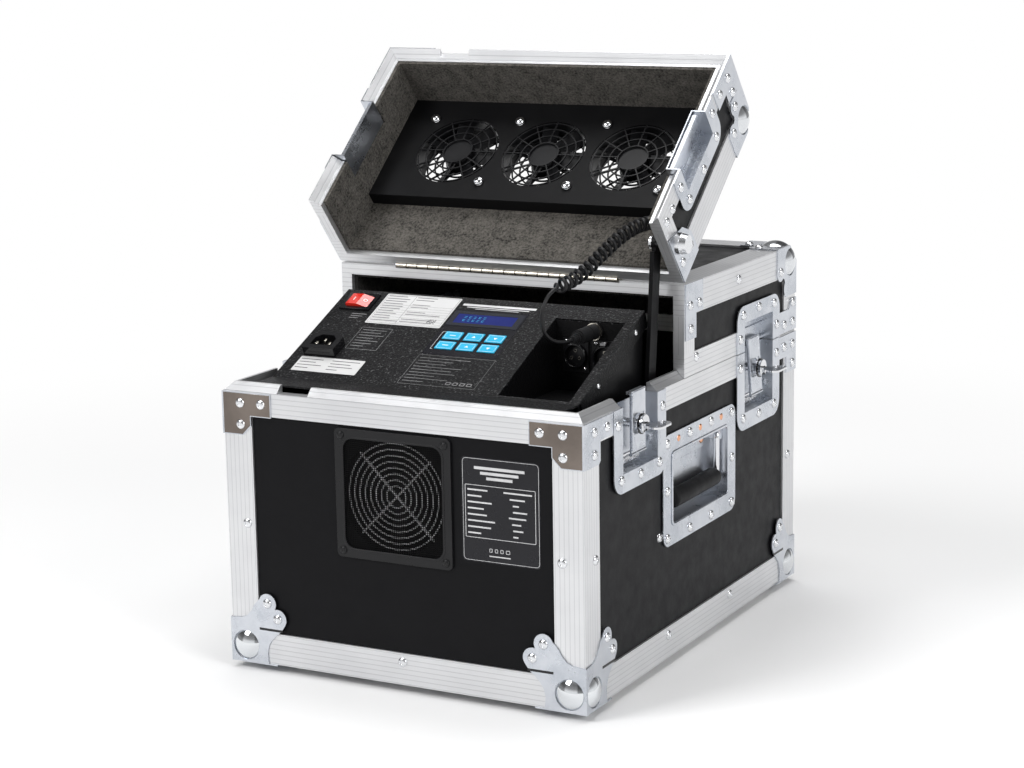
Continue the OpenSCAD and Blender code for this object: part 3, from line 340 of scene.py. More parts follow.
MATS = {
    "laminate": simple("laminate", (0.0058, 0.0058, 0.0068), 0.42, grain=(620, 0.06), vary=0.06, spec=0.10),
    "laminate_lid": simple("laminate_lid", (0.0058, 0.0058, 0.0068), 0.42, grain=(620, 0.06), vary=0.06,
                           tilt=True, spec=0.10),
    "aluminium": aluminium("aluminium"),
    "aluminium_lid": aluminium("aluminium_lid", True),
    "zinc": fittings("zinc"),
    "zinc_lid": fittings("zinc_lid", True),
    "chrome": simple("chrome", (0.74, 0.75, 0.77), 0.09, 1.0, (120, 0.012), 0.03),
    "bronze_chrome": simple("bronze_chrome", (0.20, 0.17, 0.15), 0.14, 1.0, (120, 0.02), 0.15),
    "rivet": simple("rivet", (0.76, 0.77, 0.79), 0.22, 0.95, (500, 0.03), 0.04),
    # near-black for the hollows of rivets and the recesses of screws: painted shade
    "painted_hole_shade": simple("painted_hole_shade", (0.015, 0.015, 0.015), 0.6, 0.3),
    "copper": simple("copper", (0.80, 0.42, 0.26), 0.25, 1.0),
    "nickel": simple("nickel", (0.74, 0.70, 0.62), 0.22, 1.0, (300, 0.04), 0.12),
    "rubber": simple("rubber", (0.009, 0.009, 0.010), 0.55, grain=(500, 0.12), spec=0.2),
    "cable": simple("cable", (0.007, 0.007, 0.008), 0.36, grain=(700, 0.04), spec=0.3),
    "plastic": simple("plastic", (0.008, 0.008, 0.009), 0.32, grain=(800, 0.03), spec=0.28),
    "gloss_black": simple("gloss_black", (0.006, 0.006, 0.007), 0.18, grain=(300, 0.01), coat=0.1, spec=0.4),
    "black_metal": simple("black_metal", (0.0045, 0.0045, 0.005), 0.40, grain=(900, 0.10), spec=0.12),
    "panel": painted_glint_coat("panel"),
    "felt_lid": felt("felt_lid", (0.008, 0.0075, 0.007), (0.155, 0.144, 0.128), True),
    "felt_dark": felt("felt_dark", (0.010, 0.010, 0.010), (0.085, 0.080, 0.076)),
    "paper": simple("paper", (0.60, 0.60, 0.60), 0.5, grain=(600, 0.02), vary=0.03),
    "print_grey": simple("print_grey", (0.10, 0.10, 0.105), 0.55, grain=None, vary=0.2),
    "print_white": simple("print_white", (0.62, 0.62, 0.63), 0.45, grain=None, vary=0.1),
    "print_soft": simple("print_soft", (0.20, 0.20, 0.205), 0.5, grain=None, vary=0.3),
    "film": simple("film", (0.008, 0.008, 0.011), 0.24, grain=(200, 0.01), spec=0.3),
    "window": simple("window", (0.020, 0.022, 0.030), 0.12, grain=(60, 0.02), coat=0.2),
    "screen": simple("screen", (0.006, 0.014, 0.14), 0.14, grain=(60, 0.02), coat=0.25),
    "key": simple("key", (0.008, 0.42, 0.68), 0.36, grain=(500, 0.03), vary=0.05),
    "red": simple("red", (0.62, 0.016, 0.005), 0.16, grain=(200, 0.01), vary=0.06, coat=0.6),
    "white_mark": simple("white_mark", (0.85, 0.84, 0.82), 0.35, grain=None, vary=0.02),
    "tank": simple("tank", (0.72, 0.73, 0.62), 0.35, grain=(120, 0.05)),
    "steel": simple("steel", (0.45, 0.45, 0.46), 0.36, 0.9, (90, 0.06), 0.15),
    "board": simple("board", (0.012, 0.16, 0.045), 0.32, grain=(90, 0.08), vary=0.25),
    "wire": simple("wire", (0.88, 0.88, 0.90), 0.35, 0.45, (200, 0.02)),
    "mesh": simple("mesh", (0.003, 0.003, 0.0033), 0.55, grain=(400, 0.05), spec=0.1),
}


# ---------------------------------------------------------------- mesh building
class Shape:
    """Collects closed surfaces in millimetres."""

    def __init__(self):
        self.v, self.f = [], []

    def _add(self, verts, faces, m=None):
        n = len(self.v)
        self.v += [tuple(m @ Vector(p)) if m is not None else tuple(p) for p in verts]
        self.f += [[n + i for i in face] for face in faces]
        return self

    def prism(self, outline, low, high, m=None):
        """An outline in x and y, raised from low to high along z."""
        n = len(outline)
        area = sum(outline[i][0] * outline[(i + 1) % n][1] - outline[(i + 1) % n][0] * outline[i][1]
                   for i in range(n))
        if area < 0:
            outline = outline[::-1]
        verts = [(x, y, low) for x, y in outline] + [(x, y, high) for x, y in outline]
        faces = [list(range(n))[::-1], list(range(n, 2 * n))]
        faces += [[i, (i + 1) % n, n + (i + 1) % n, n + i] for i in range(n)]
        return self._add(verts, faces, m)

    def box(self, lo, hi, m=None):
        return self.prism([(lo[0], lo[1]), (hi[0], lo[1]), (hi[0], hi[1]), (lo[0], hi[1])], lo[2], hi[2], m)

    def lathe(self, profile, m=None, seg=24):
        """profile: radius and height pairs from the axis round to the axis."""
        verts, rings = [], []
        for r, z in profile:
            if r < 1e-6:
                rings.append([len(verts)])
                verts.append((0, 0, z))
            else:
                rings.append(list(range(len(verts), len(verts) + seg)))
                verts += [(r * math.cos(2 * math.pi * k / seg), r * math.sin(2 * math.pi * k / seg), z)
                          for k in range(seg)]
        faces = []
        for a, b in zip(rings, rings[1:]):
            for k in range(seg):
                j = (k + 1) % seg
                if len(a) == 1 and len(b) > 1:
                    faces.append([a[0], b[j], b[k]])
                elif len(b) == 1 and len(a) > 1:
                    faces.append([a[k], a[j], b[0]])
                elif len(a) > 1:
                    faces.append([a[k], a[j], b[j], b[k]])
        return self._add(verts, faces, m)

    def tube(self, pts, r, seg=10, m=None, closed=False):
        pts = [Vector(p) for p in pts]
        n = len(pts)
        verts, faces, normal = [], [], None
        for i, p in enumerate(pts):
            a = pts[(i - 1) % n] if closed or i > 0 else pts[0]
            b = pts[(i + 1) % n] if closed or i < n - 1 else pts[-1]
            t = (b - a).normalized()
            if normal is None:
                normal = t.orthogonal().normalized()
            normal = (normal - t * normal.dot(t)).normalized()
            other = t.cross(normal)
            rr = r[i] if isinstance(r, (list, tuple)) else r
            turn = [2 * math.pi * k / seg for k in range(seg)]
            verts += [p + rr * (math.cos(w) * normal + math.sin(w) * other) for w in turn]
        for i in range(n if closed else n - 1):
            for k in range(seg):
                j = (k + 1) % seg
                i2 = (i + 1) % n
                faces.append([i * seg + k, i * seg + j, i2 * seg + j, i2 * seg + k])
        if not closed:
            faces.append([k for k in range(seg)][::-1])
            faces.append([(n - 1) * seg + k for k in range(seg)])
        return self._add(verts, faces, m)

    def make(self, name, mat, body, m=MM, bevel=0.0, smooth=35, slot=None, replaces=(), segments=2):
        me = bpy.data.meshes.new(name)
        turned = m.determinant() < 0
        faces = [f[::-1] for f in self.f] if turned else self.f
        me.from_pydata([tuple(m @ Vector(p)) for p in self.v], [], faces)
        me.validate()
        for p in me.polygons:
            p.use_smooth = True
        me.set_sharp_from_angle(angle=math.radians(smooth))
        me.materials.append(MATS[mat])
        o = bpy.data.objects.new(name, me)
        bpy.context.scene.collection.objects.link(o)
        if bevel:
            b = o.modifiers.new("edge", "BEVEL")
            b.width, b.segments, b.limit_method = bevel / 1000, segments, "ANGLE"
            b.angle_limit = math.radians(40)
        if body:
            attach(o, body)
        if replaces:
            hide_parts(*replaces)
        return o


def frame_at(p, axis, m=None):
    """A frame at p whose z points along axis."""
    q = Vector(axis).to_track_quat("Z", "Y").to_matrix().to_4x4()
    f = Matrix.Translation(p) @ q
    return m @ f if m is not None else f


def rounded(x0, y0, x1, y1, r, seg=6):
    """Outline of a rectangle with round corners."""
    out = []
    corners = ((x1 - r, y1 - r, 0), (x0 + r, y1 - r, 90), (x0 + r, y0 + r, 180), (x1 - r, y0 + r, 270))
    for cx, cy, a in corners:
        turn = [math.radians(a + 90 * k / seg) for k in range(seg + 1)]
        out += [(cx + r * math.cos(w), cy + r * math.sin(w)) for w in turn]
    return out


def circle(r, seg=24):
    return [(r * math.cos(2 * math.pi * k / seg), r * math.sin(2 * math.pi * k / seg)) for k in range(seg)]


def ring_prism(shape, out, inn, lo, hi, m):
    """The band between two outlines of as many points, raised from lo to hi."""
    n = len(out)
    verts = [(x, y, z) for z in (lo, hi) for loop in (out, inn) for x, y in loop]
    faces = []
    for i in range(n):
        j = (i + 1) % n
        faces += [[i, n + i, n + j, j], [2 * n + i, 2 * n + j, 3 * n + j, 3 * n + i],
                  [i, j, 2 * n + j, 2 * n + i], [n + i, 3 * n + i, 3 * n + j, n + j]]
    shape._add(verts, faces, m)


def outline(shape, x0, y0, x1, y1, w, z0, z1, m, r=2.0):
    """A rectangular line of width w."""
    inner = rounded(x0 + w, y0 + w, x1 - w, y1 - w, max(0.2, r - w), 3)
    ring_prism(shape, rounded(x0, y0, x1, y1, r, 3), inner, z0, z1, m)


def sided(rightside):
    """Places what is measured on the left side; the right side is its mirror image."""
    mirror = Matrix.Translation((W, 0, 0)) @ Matrix.Scale(-1, 4, (1, 0, 0))
    return MM @ (mirror if rightside else Matrix.Identity(4))


# ---------------------------------------------------------------- the carried-over CAD pieces
LOOK = {
    "base_panels": "laminate", "cover_panels": "laminate", "lid_panels": "laminate_lid",
    "base_extrusions": "aluminium", "cover_extrusions": "aluminium", "lid_extrusions": "aluminium_lid",
    "base_fittings": "zinc", "cover_fittings": "zinc", "lid_fittings": "zinc_lid",
    "base_latch_dishes": "zinc", "handle_dishes": "zinc", "base_rivets": "rivet", "cover_rivets": "rivet",
    "lid_fasteners": "rivet", "rubber_feet": "rubber", "finger_guard": "wire", "intake_fan_frame": "plastic",
    "chassis": "black_metal", "control_panel": "panel", "fan_plate": "black_metal",
    "display_module": "gloss_black",
    "power_inlet": "gloss_black", "switch_bezel": "gloss_black", "panel_sockets": "plastic",
    "fluid_tank": "tank", "fog_engine": "steel", "control_board": "board", "cover_lining": "felt_dark",
    "lid_lining": "felt_lid", "fan_frames": "plastic", "power_rocker": "red", "lid_stay": "black_metal",
    "intake_rotor": "plastic", "fan_plug": "rubber", "filter_frame": "black_metal",
}
BEVEL = {"base_extrusions": 0.7, "cover_extrusions": 0.7, "lid_extrusions": 0.7, "base_fittings": 0.4,
         "cover_fittings": 0.4, "lid_fittings": 0.4, "base_latch_dishes": 0.8, "handle_dishes": 0.9,
         "control_panel": 0.4, "power_inlet": 0.8, "switch_bezel": 0.7, "power_rocker": 0.8, "fan_plate": 0.4,
         "lid_stay": 0.5, "rubber_feet": 0.8, "lid_lining": 0.8, "cover_lining": 0.8, "chassis": 0.4}
LOOK_OF_KIND = {"latch_hook": "zinc", "latch_knob": "chrome", "latch_wing": "chrome", "key_": "key",
                "handle_": "chrome", "lid_rotor": "plastic"}


def look_of(name):
    kinds = [look for start, look in LOOK_OF_KIND.items() if name.startswith(start)]
    return LOOK.get(name) or (kinds + ["cable"])[0]


for name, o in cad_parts.items():
    o.data.materials.clear()
    o.data.materials.append(MATS[look_of(name)])
    for p in o.data.polygons:
        p.use_smooth = True
        p.material_index = 0
    o.data.set_sharp_from_angle(angle=math.radians(32))
    wide = BEVEL.get(name, 0.5 if name.startswith(("key_", "latch_wing", "latch_hook")) else 0)
    if wide:
        b = o.modifiers.new("edge", "BEVEL")
        b.width, b.segments, b.limit_method = wide / 1000, 2, "ANGLE"
        b.angle_limit = math.radians(50)


# ---------------------------------------------------------------- fan lead
COIL = [(339, 246, 407), (336, 232, 403), (329, 198, 401), (322, 174, 393), (315, 149, 380), (307, 122, 365),
        (299, 92, 358)]
TAIL = [(299, 92, 358), (296, 82, 352), (294, 75, 341), (294, 73, 330), (295, 77, 319), (298, 87, 311),
        (302, 100, 308), (304, 112, 308)]


def curve_through(pts, n):
    pts = [Vector(p) for p in pts]
    out = []
    for i in range(len(pts) - 1):
        a, b, c, d = pts[max(i - 1, 0)], pts[i], pts[i + 1], pts[min(i + 2, len(pts) - 1)]
        for k in range(n):
            t = k / n
            out.append(0.5 * (2 * b + (c - a) * t + (2 * a - 5 * b + 4 * c - d) * t * t
                              + (3 * b - a - 3 * c + d) * t ** 3))
    return out + [pts[-1]]


def even(pts, count):
    total = [0.0]
    for a, b in zip(pts, pts[1:]):
        total.append(total[-1] + (b - a).length)
    out, i = [], 0
    for k in range(count):
        s = total[-1] * k / (count - 1)
        while i < len(total) - 2 and total[i + 1] < s:
            i += 1
        u = (s - total[i]) / (total[i + 1] - total[i])
        out.append(pts[i].lerp(pts[i + 1], u))
    return out, total[-1]


turns, wire_r, mean_r, per_turn = 23, 1.7, 5.3, 16
axis_pts, coil_len = even(curve_through(COIL, 12), turns * per_turn + 1)
helix, ref = [], Vector((1, 0, 0))
for i, p in enumerate(axis_pts):
    t = (axis_pts[min(i + 1, len(axis_pts) - 1)] - axis_pts[max(i - 1, 0)]).normalized()
    ref = (ref - t * ref.dot(t)).normalized()
    other = t.cross(ref)
    a = -2 * math.pi * i / per_turn
    ends = min(1.0, i / 8, (len(axis_pts) - 1 - i) / 10)
    helix.append(p + mean_r * ends * (math.cos(a) * ref + math.sin(a) * other))
tail_pts = curve_through(TAIL, 6)
coil = Shape().tube(helix, wire_r, 8).make("lead_coil", "cable", None, smooth=60, slot="rubber",
                                           replaces=("cord_coil",))
tail = Shape().tube(tail_pts, wire_r, 10).make("lead_tail", "cable", None, smooth=60, slot="rubber",
                                               replaces=("cord_tail",))
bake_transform(coil)
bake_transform(tail)


# ribbed boot and bright ring on the plug
boot = Shape()
prof = [(0, 0)]
for k in range(9):
    z = 0.4 + k * 3.4
    r = 3.4 + 3.6 * min(1, k / 5)
    prof += [(r, z), (r, z + 2.1), (r - 0.7, z + 2.3), (r - 0.7, z + 3.2)]
prof += [(7.3, 31), (7.3, 43.5), (0, 43.5)]
boot.lathe(prof, frame_at((304, 112, 308), (0, 1, 0)), 28)
boot.make("plug_boot", "rubber", "rear_cover", slot="rubber")
jack = Shape().lathe([(4.0, 0), (8.2, 0), (8.2, 2.2), (6.6, 3.0), (4.0, 3.0), (4.0, 0)],
                     frame_at((304, 155.8, 308), (0, 1, 0)), 32)
jack.make("jack_ring", "nickel", "base", slot="bright_wire")


# ---------------------------------------------------------------- rivets
def rivet_shape(heads, hole_shades, p, axis, r=4.7, h=2.5, hole=1.35):
    m = frame_at(p, axis)
    dome = [(r * 0.55, h * 0.93), (r * 0.82, h * 0.66), (r * 0.97, h * 0.3), (r, 0), (r, -0.2)]
    heads.lathe([(hole, h * 0.55), (hole + 0.3, h)] + dome, m, 18)
    # a near-black disc down in the rivet's hollow: painted shade
    hole_shades.lathe([(0, h * 0.56), (hole + 0.1, h * 0.56)], m, 10)


def around_latch(y, near, far, middle):
    """The five rivets of a latch dish's flange, at heights from the seam."""
    return [(y - 47, SEAM + near), (y + 47, SEAM + near), (y - 40, SEAM + far), (y, SEAM + middle),
            (y + 40, SEAM + far)]


def low_latch(y):
    return around_latch(y, -15, -66, -68)


def high_latch(y):
    return around_latch(y, 14, 37, 39.5)


HANDLE = [(HANDLE_Y + a, HANDLE_Z + b)
          for a, b in ((-76, 45), (-25, 46), (25, 46), (76, 45), (-76, 0), (76, 0),
                       (-76, -45), (-25, -46), (25, -46), (76, -45))]


def sides(heads, hole_shades, depth, at):
    for a, b in at:
        rivet_shape(heads, hole_shades, (depth, a, b), (-1, 0, 0))
        rivet_shape(heads, hole_shades, (W - depth, a, b), (1, 0, 0))


def ends_of(heads, hole_shades, y, axis, at, both=True):
    for a, b in at:
        rivet_shape(heads, hole_shades, (a, y, b), axis)
        if both:
            rivet_shape(heads, hole_shades, (W - a, y, b), axis)


heads, hole_shades = Shape(), Shape()
sides(heads, hole_shades, -PLATE, low_latch(FRONT_LATCH) + low_latch(REAR_LATCH) + [(19, 248), (44, 248), (19, 228)]
      + [(458, 246), (481, 246), (481, 226)] + LOWER + [(D - a, b) for a, b in LOWER])
sides(heads, hole_shades, 0, HANDLE)
sides(heads, hole_shades, 0, [(21, 134), (472, 131), (174, 22), (320, 22)])
ends_of(heads, hole_shades, -PLATE, (0, -1, 0), [(19, 248), (41.5, 248), (19, 228)] + LOWER)
ends_of(heads, hole_shades, 0, (0, -1, 0), [(21.5, 134)])
ends_of(heads, hole_shades, 0, (0, -1, 0), [(185, 21.7)], False)
ends_of(heads, hole_shades, D + PLATE, (0, 1, 0), [(16, 245), (46, 245), (16, 227)] + LOWER)
ends_of(heads, hole_shades, D, (0, 1, 0), [(21.5, 134)])
ends_of(heads, hole_shades, D, (0, 1, 0), [(185, 21.7)], False)
heads.make("rivet_heads_base", "rivet", "base", smooth=50, slot="rivet")
hole_shades.make("rivet_centre_shade_base", "painted_hole_shade", "base", slot="black_metal")

heads, hole_shades = Shape(), Shape()
sides(heads, hole_shades, -PLATE, high_latch(REAR_LATCH) + [(223, 326), (244, 326), (224, 304)]
      + [(458, 269), (481, 269), (481, 289)] + [(449, 324)])
sides(heads, hole_shades, 0, [(239, 275), (341, 333)])
ends_of(heads, hole_shades, D + PLATE, (0, 1, 0), [(16, 273), (46, 273), (41, 324), (23, 306)])
for a, b in ((41, 467), (23, 449)):
    rivet_shape(heads, hole_shades, (a, b, H + PLATE), (0, 0, 1))
    rivet_shape(heads, hole_shades, (W - a, b, H + PLATE), (0, 0, 1))
heads.make("rivet_heads_cover", "rivet", "rear_cover", smooth=50, slot="rivet")
hole_shades.make("rivet_centre_shade_cover", "painted_hole_shade", "rear_cover", slot="black_metal")

heads, hole_shades = Shape(), Shape()
sides(heads, hole_shades, -PLATE, high_latch(FRONT_LATCH)
      + [(19, 273), (42, 272), (19, 291), (23, 306), (41, 324), (201, 329), (179, 329)])
sides(heads, hole_shades, 0, [(200, 276), (184, 276)])
ends_of(heads, hole_shades, -PLATE, (0, -1, 0), [(19, 271), (41.5, 271), (19, 291), (23, 306), (41, 324)])
for a, b in ((41, 23), (23, 41)):
    rivet_shape(heads, hole_shades, (a, b, H + PLATE), (0, 0, 1))
    rivet_shape(heads, hole_shades, (W - a, b, H + PLATE), (0, 0, 1))
heads.make("rivet_heads_lid", "rivet", "lid", LID, smooth=50, slot="rivet")
hole_shades.make("rivet_centre_shade_lid", "painted_hole_shade", "lid", LID, slot="black_metal")


# ---------------------------------------------------------------- screws with a cross recess
def screw(heads, marks, p, axis, r=4.3, h=2.2):
    m = frame_at(p, axis)
    dome = [(0, h), (r * 0.4, h * 0.97), (r * 0.75, h * 0.72), (r * 0.97, h * 0.3), (r, 0), (r, -0.2)]
    heads.lathe(dome, m, 24)
    # the cross recess is drawn as two near-black bars: painted shade in the recess
    for a in (0, 90):
        k = m @ Matrix.Rotation(math.radians(a + 25), 4, "Z")
        marks.box((-r * 0.5, -r * 0.11, h * 0.6), (r * 0.5, r * 0.11, h * 1.01), k)


heads, marks = Shape(), Shape()
fan_pitch, fan_y, fan_hole, fan_plate_z = 96, 82, 41.2, 317.2
for i in (-1, 0, 1):
    for s in (-1, 1):
        at = (W / 2 + i * fan_pitch + s * fan_hole, fan_y + s * fan_hole, fan_plate_z)
        screw(heads, marks, at, (0, 0, -1), 5.2, 3.2)
heads.make("fan_screws", "chrome", "lid", LID, smooth=50, slot="rivet")
marks.make("fan_screw_recess_shade", "painted_hole_shade", "lid", LID, slot="black_metal")

heads, marks = Shape(), Shape()
for a in (-53.5, 53.5):
    for b in (-53.5, 53.5):
        screw(heads, marks, (FAN_X + a, -1, FAN_Z + b), (0, -1, 0), 3.6, 1.6)
heads.make("filter_screws", "plastic", "base", smooth=50, slot="rivet")
marks.make("filter_screw_recess_shade", "painted_hole_shade", "base", slot="black_metal")

heads, marks = Shape(), Shape()
for cx in (284, 314):
    for s in (-1, 1):
        screw(heads, marks, (cx + s * 9.6, 159.1, 284 - s * 12.4), (0, -1, 0), 2.3, 1.3)
# one low on each side of the case, and two on each side of the panel's box
screw(heads, marks, (1.6, 159, 119.6), (-1, 0, 0), 4.4, 2.4)
screw(heads, marks, (W - 1.6, 159, 119.6), (1, 0, 0), 4.4, 2.4)
for v in (40, 126):
    for x, ax in ((26, -1), (W - 26, 1)):
        screw(heads, marks, tuple(PANEL_MM @ Vector((x + 0.1 * ax, v, -8))), (ax, 0, 0), 2.8, 1.6)
heads.make("small_screws", "chrome", "base", smooth=50, slot="rivet")
marks.make("small_screw_recess_shade", "painted_hole_shade", "base", slot="black_metal")


# ---------------------------------------------------------------- air intake: frame and open mesh
fr = Shape()
outer, inner = rounded(-60, -60, 60, 60, 5, 6), rounded(-51, -51, 51, 51, 10, 6)

FRONT = Matrix.Translation((FAN_X, 0, FAN_Z)) @ Matrix.Rotation(math.radians(90), 4, "X")
ring_prism(fr, outer, inner, -1.9, 0.6, FRONT)
ring_prism(fr, rounded(-53, -53, 53, 53, 11, 6), inner, 0.6, 1.0, FRONT)
fr.make("filter_bezel", "plastic", "base", bevel=0.5, slot="black_plastic", replaces=("filter_frame",))
weave = Shape()
pitch, n_w = 1.9, 27
for k in range(-n_w, n_w + 1):
    u = k * pitch
    reach = 51.2 if abs(u) < 41 else 51 - 10 + math.sqrt(max(0, 100 - (abs(u) - 41) ** 2))
    weave.box((u - 0.27, -reach, -1.2), (u + 0.27, reach, -0.75), FRONT)
    weave.box((-reach, u - 0.27, -0.75), (reach, u + 0.27, -0.3), FRONT)
weave.make("filter_mesh", "mesh", "base", slot="black_plastic")

# front label: frame lines and a table of plain bars
lab, lines = Shape(), Shape()
FACE = Matrix.Translation((0, 2, 0)) @ Matrix.Rotation(math.radians(90), 4, "X")
lab.prism(rounded(249, 125, 327, 220, 4), 0, 0.35, FACE)
lab.make("front_label", "film", "base", slot="black_plastic")

outline(lines, 250.2, 126.2, 325.8, 218.8, 0.35, 0.35, 0.45, FACE, 3.5)
outline(lines, 252.5, 147, 322.5, 195, 0.5, 0.35, 0.45, FACE, 1)
ROWS = ((20, 9, 19), (14, 3, 12), (24, 0, 6), (16, 0, 14), (19, 4, 13), (27, 1, 8), (23, 0, 10), (13, 0, 5))
for k, (left, start, end) in enumerate(ROWS):
    z = 190.5 - k * 5.6
    lines.box((255, z - 0.7, 0.35), (255 + left, z + 0.7, 0.45), FACE)
    lines.box((300 - start, z - 0.7, 0.35), (300 + end, z + 0.7, 0.45), FACE)
for k, (x, w) in enumerate(((276, 3), (281.5, 3), (287, 3), (292.5, 4))):
    outline(lines, x, 135, x + w, 138.4, 0.5, 0.35, 0.45, FACE, 0.6)
lines.box((276, 131, 0.35), (297, 132, 0.45), FACE)
for x0, x1, z in ((262, 312, 210.5), (268, 306, 206.0), (274, 300, 201.5)):
    lines.box((x0, z - 1.3, 0.35), (x1, z + 1.3, 0.45), FACE)
lines.make("front_label_print", "print_white", "base", slot="tank")


# ---------------------------------------------------------------- control panel
def plate(name, mat, x0, y0, x1, y1, z0, z1, r=1.0, slot="black_plastic", bevel=0.0):
    return Shape().prism(rounded(x0, y0, x1, y1, r), z0, z1).make(name, mat, "base", PANEL, bevel, slot=slot)


plate("sticker_top", "paper", 73, 97.5, 155, 148, 0, 0.18, 1.5, "tank")
plate("sticker_low", "paper", 38, 13, 108, 36, 0, 0.18, 1.2, "tank")
pr = Shape()
for k in range(11):
    y = 144.5 - k * 4.1
    if 2 < k < 11:
        pr.box((75, y - 1.9, 0.18), (153, y - 1.75, 0.24))
    pr.box((76, y - 0.5, 0.18), (76 + random.uniform(16, 30), y + 0.5, 0.22))
    if k % 3 != 2:
        pr.box((108, y - 0.5, 0.18), (108 + random.uniform(18, 42), y + 0.5, 0.22))
pr.box((105.5, 99, 0.18), (105.8, 147, 0.24))
outline(pr, 74.5, 99, 153.5, 146.6, 0.25, 0.18, 0.24, Matrix.Identity(4), 0.8)
for k, (left, right_bar) in enumerate(((24, 30), (18, 22), (26, 26), (14, 12))):
    y = 32 - k * 4.6
    pr.box((40, y - 0.5, 0.18), (40 + left, y + 0.5, 0.22))
    pr.box((74, y - 0.5, 0.18), (74 + right_bar, y + 0.5, 0.22))
for i in range(6):
    for j in range(5):
        if (i * 3 + j * 5) % 4:
            pr.box((137 + i * 1.5, 103 + j * 1.5, 0.18), (138.2 + i * 1.5, 104.2 + j * 1.5, 0.24))
pr.make("sticker_print", "print_grey", "base", PANEL, slot="black_plastic")

plate("key_film", "film", 157, 56, 235, 131.5, 0, 0.12, 2)
mask = Shape()
ring_prism(mask, rounded(158, 104, 233, 128, 1, 3), rounded(163.5, 108.5, 226.5, 123.5, 0.5, 3),
           0.12, 0.5, None)
mask.make("window_mask", "window", "base", PANEL, slot="display")
plate("screen", "screen", 163.3, 108.3, 226.7, 123.7, 0.05, 0.32, 0.4, "display")
seg = Shape()
for row_k in range(2):
    for k in range(5):
        x, y = 172 + k * 5.0, 118.6 - row_k * 5.2
        seg.box((x, y - 1.3, 0.32), (x + 2.4, y - 0.9, 0.36))
        seg.box((x, y + 0.9, 0.32), (x + 2.4, y + 1.3, 0.36))
        if (k + row_k) % 2:
            seg.box((x, y - 1.3, 0.32), (x + 0.4, y + 1.3, 0.36))
seg.make("screen_bars", "key", "base", PANEL, slot="display")

marks = Shape()
marks.box((161.6, 64.5, 0.12), (162, 93, 0.2))
marks.box((161.6, 92.6, 0.12), (166, 93, 0.2))
marks.box((161.6, 64.5, 0.12), (164, 64.9, 0.2))
marks.box((160, 137.6, 0), (238, 140.8, 0.1))
marks.box((166, 135.0, 0), (232, 136.2, 0.1))
marks.box((176, 132.8, 0), (222, 133.5, 0.1))
marks.make("panel_marks", "print_white", "base", PANEL, slot="tank")
soft = Shape()
for k, wide in enumerate((74, 52, 44, 70, 58, 66, 40, 62, 30)):
    y = 50 - k * 4.6
    soft.box((159, y - 0.55, 0), (159 + wide * 0.72, y + 0.1, 0.08))
for k, wide in enumerate((26, 22, 27, 18, 25, 20, 14)):
    y = 86 - k * 4.4
    soft.box((78, y - 0.5, 0), (78 + wide, y + 0.2, 0.08))
outline(soft, 75, 54, 109, 90, 0.35, 0, 0.08, Matrix.Identity(4), 1)
outline(soft, 156, 8, 236, 54.5, 0.3, 0, 0.06, Matrix.Identity(4), 1)
for k in range(3):
    soft.box((52, 110.5 - k * 3.4, 0), (68 - 3 * k, 111.3 - k * 3.4, 0.08))
for k in range(4):
    outline(soft, 204 + k * 7.2, 11.5, 209.4 + k * 7.2, 16, 1.0, 0, 0.1, Matrix.Identity(4), 1.2)
soft.make("panel_lines", "print_soft", "base", PANEL, slot="tank")

# marks on the keys: arrows and bars only
for n, (u, v) in enumerate([(a, b) for b in (87, 71) for a in (175, 197.4, 219.8)]):
    one = Shape()
    outline(one, u - 7.9, v - 4.9, u + 7.9, v + 4.9, 0.28, 0.8, 0.86, Matrix.Identity(4), 1.2)
    if n % 3 == 1:
        one.prism([(u - 2, v - 1.2), (u + 2, v - 1.2), (u, v + 1.8)], 0.8, 0.88)
    elif n % 3 == 2:
        one.prism([(u - 2, v + 1.2), (u + 2, v + 1.2), (u, v - 1.8)], 0.8, 0.88)
    else:
        one.box((u - 3.2, v - 0.5, 0.8), (u + 3.2, v + 0.5, 0.88))
    one.make(f"key_mark_{n + 1}", "white_mark", f"key_{n + 1}", PANEL, slot="tank")

# rocker marks, on the two faces of the rocker
for k, sgn in enumerate((-1, 1)):
    one = Shape()
    face = Matrix.Translation((51, 129.5, -1.5)) @ Matrix.Rotation(math.radians(8), 4, "Y")
    tilt = face @ Matrix.Translation((sgn * 6.0, 0, 5.42)) @ Matrix.Rotation(math.radians(sgn * 9.8), 4, "Y")
    if sgn < 0:
        one.box((-0.45, -2.6, 0.02), (0.45, 2.6, 0.16), tilt)
    else:
        ring_prism(one, circle(2.1), circle(1.4), 0.02, 0.16, tilt)
    one.make(f"rocker_mark_{k + 1}", "white_mark", "power_rocker", PANEL, slot="tank")

pins = Shape()
inlet_x, inlet_y = 56, 52
for dx, dy in ((-7, -1.5), (0, 3.5), (7, -1.5)):
    pins.box((inlet_x + dx - 1.0, inlet_y + dy - 3.4, 1), (inlet_x + dx + 1.0, inlet_y + dy + 0.8, 7.6))
pins.make("inlet_pins", "nickel", "base", PANEL, 0.2, slot="bright_wire")


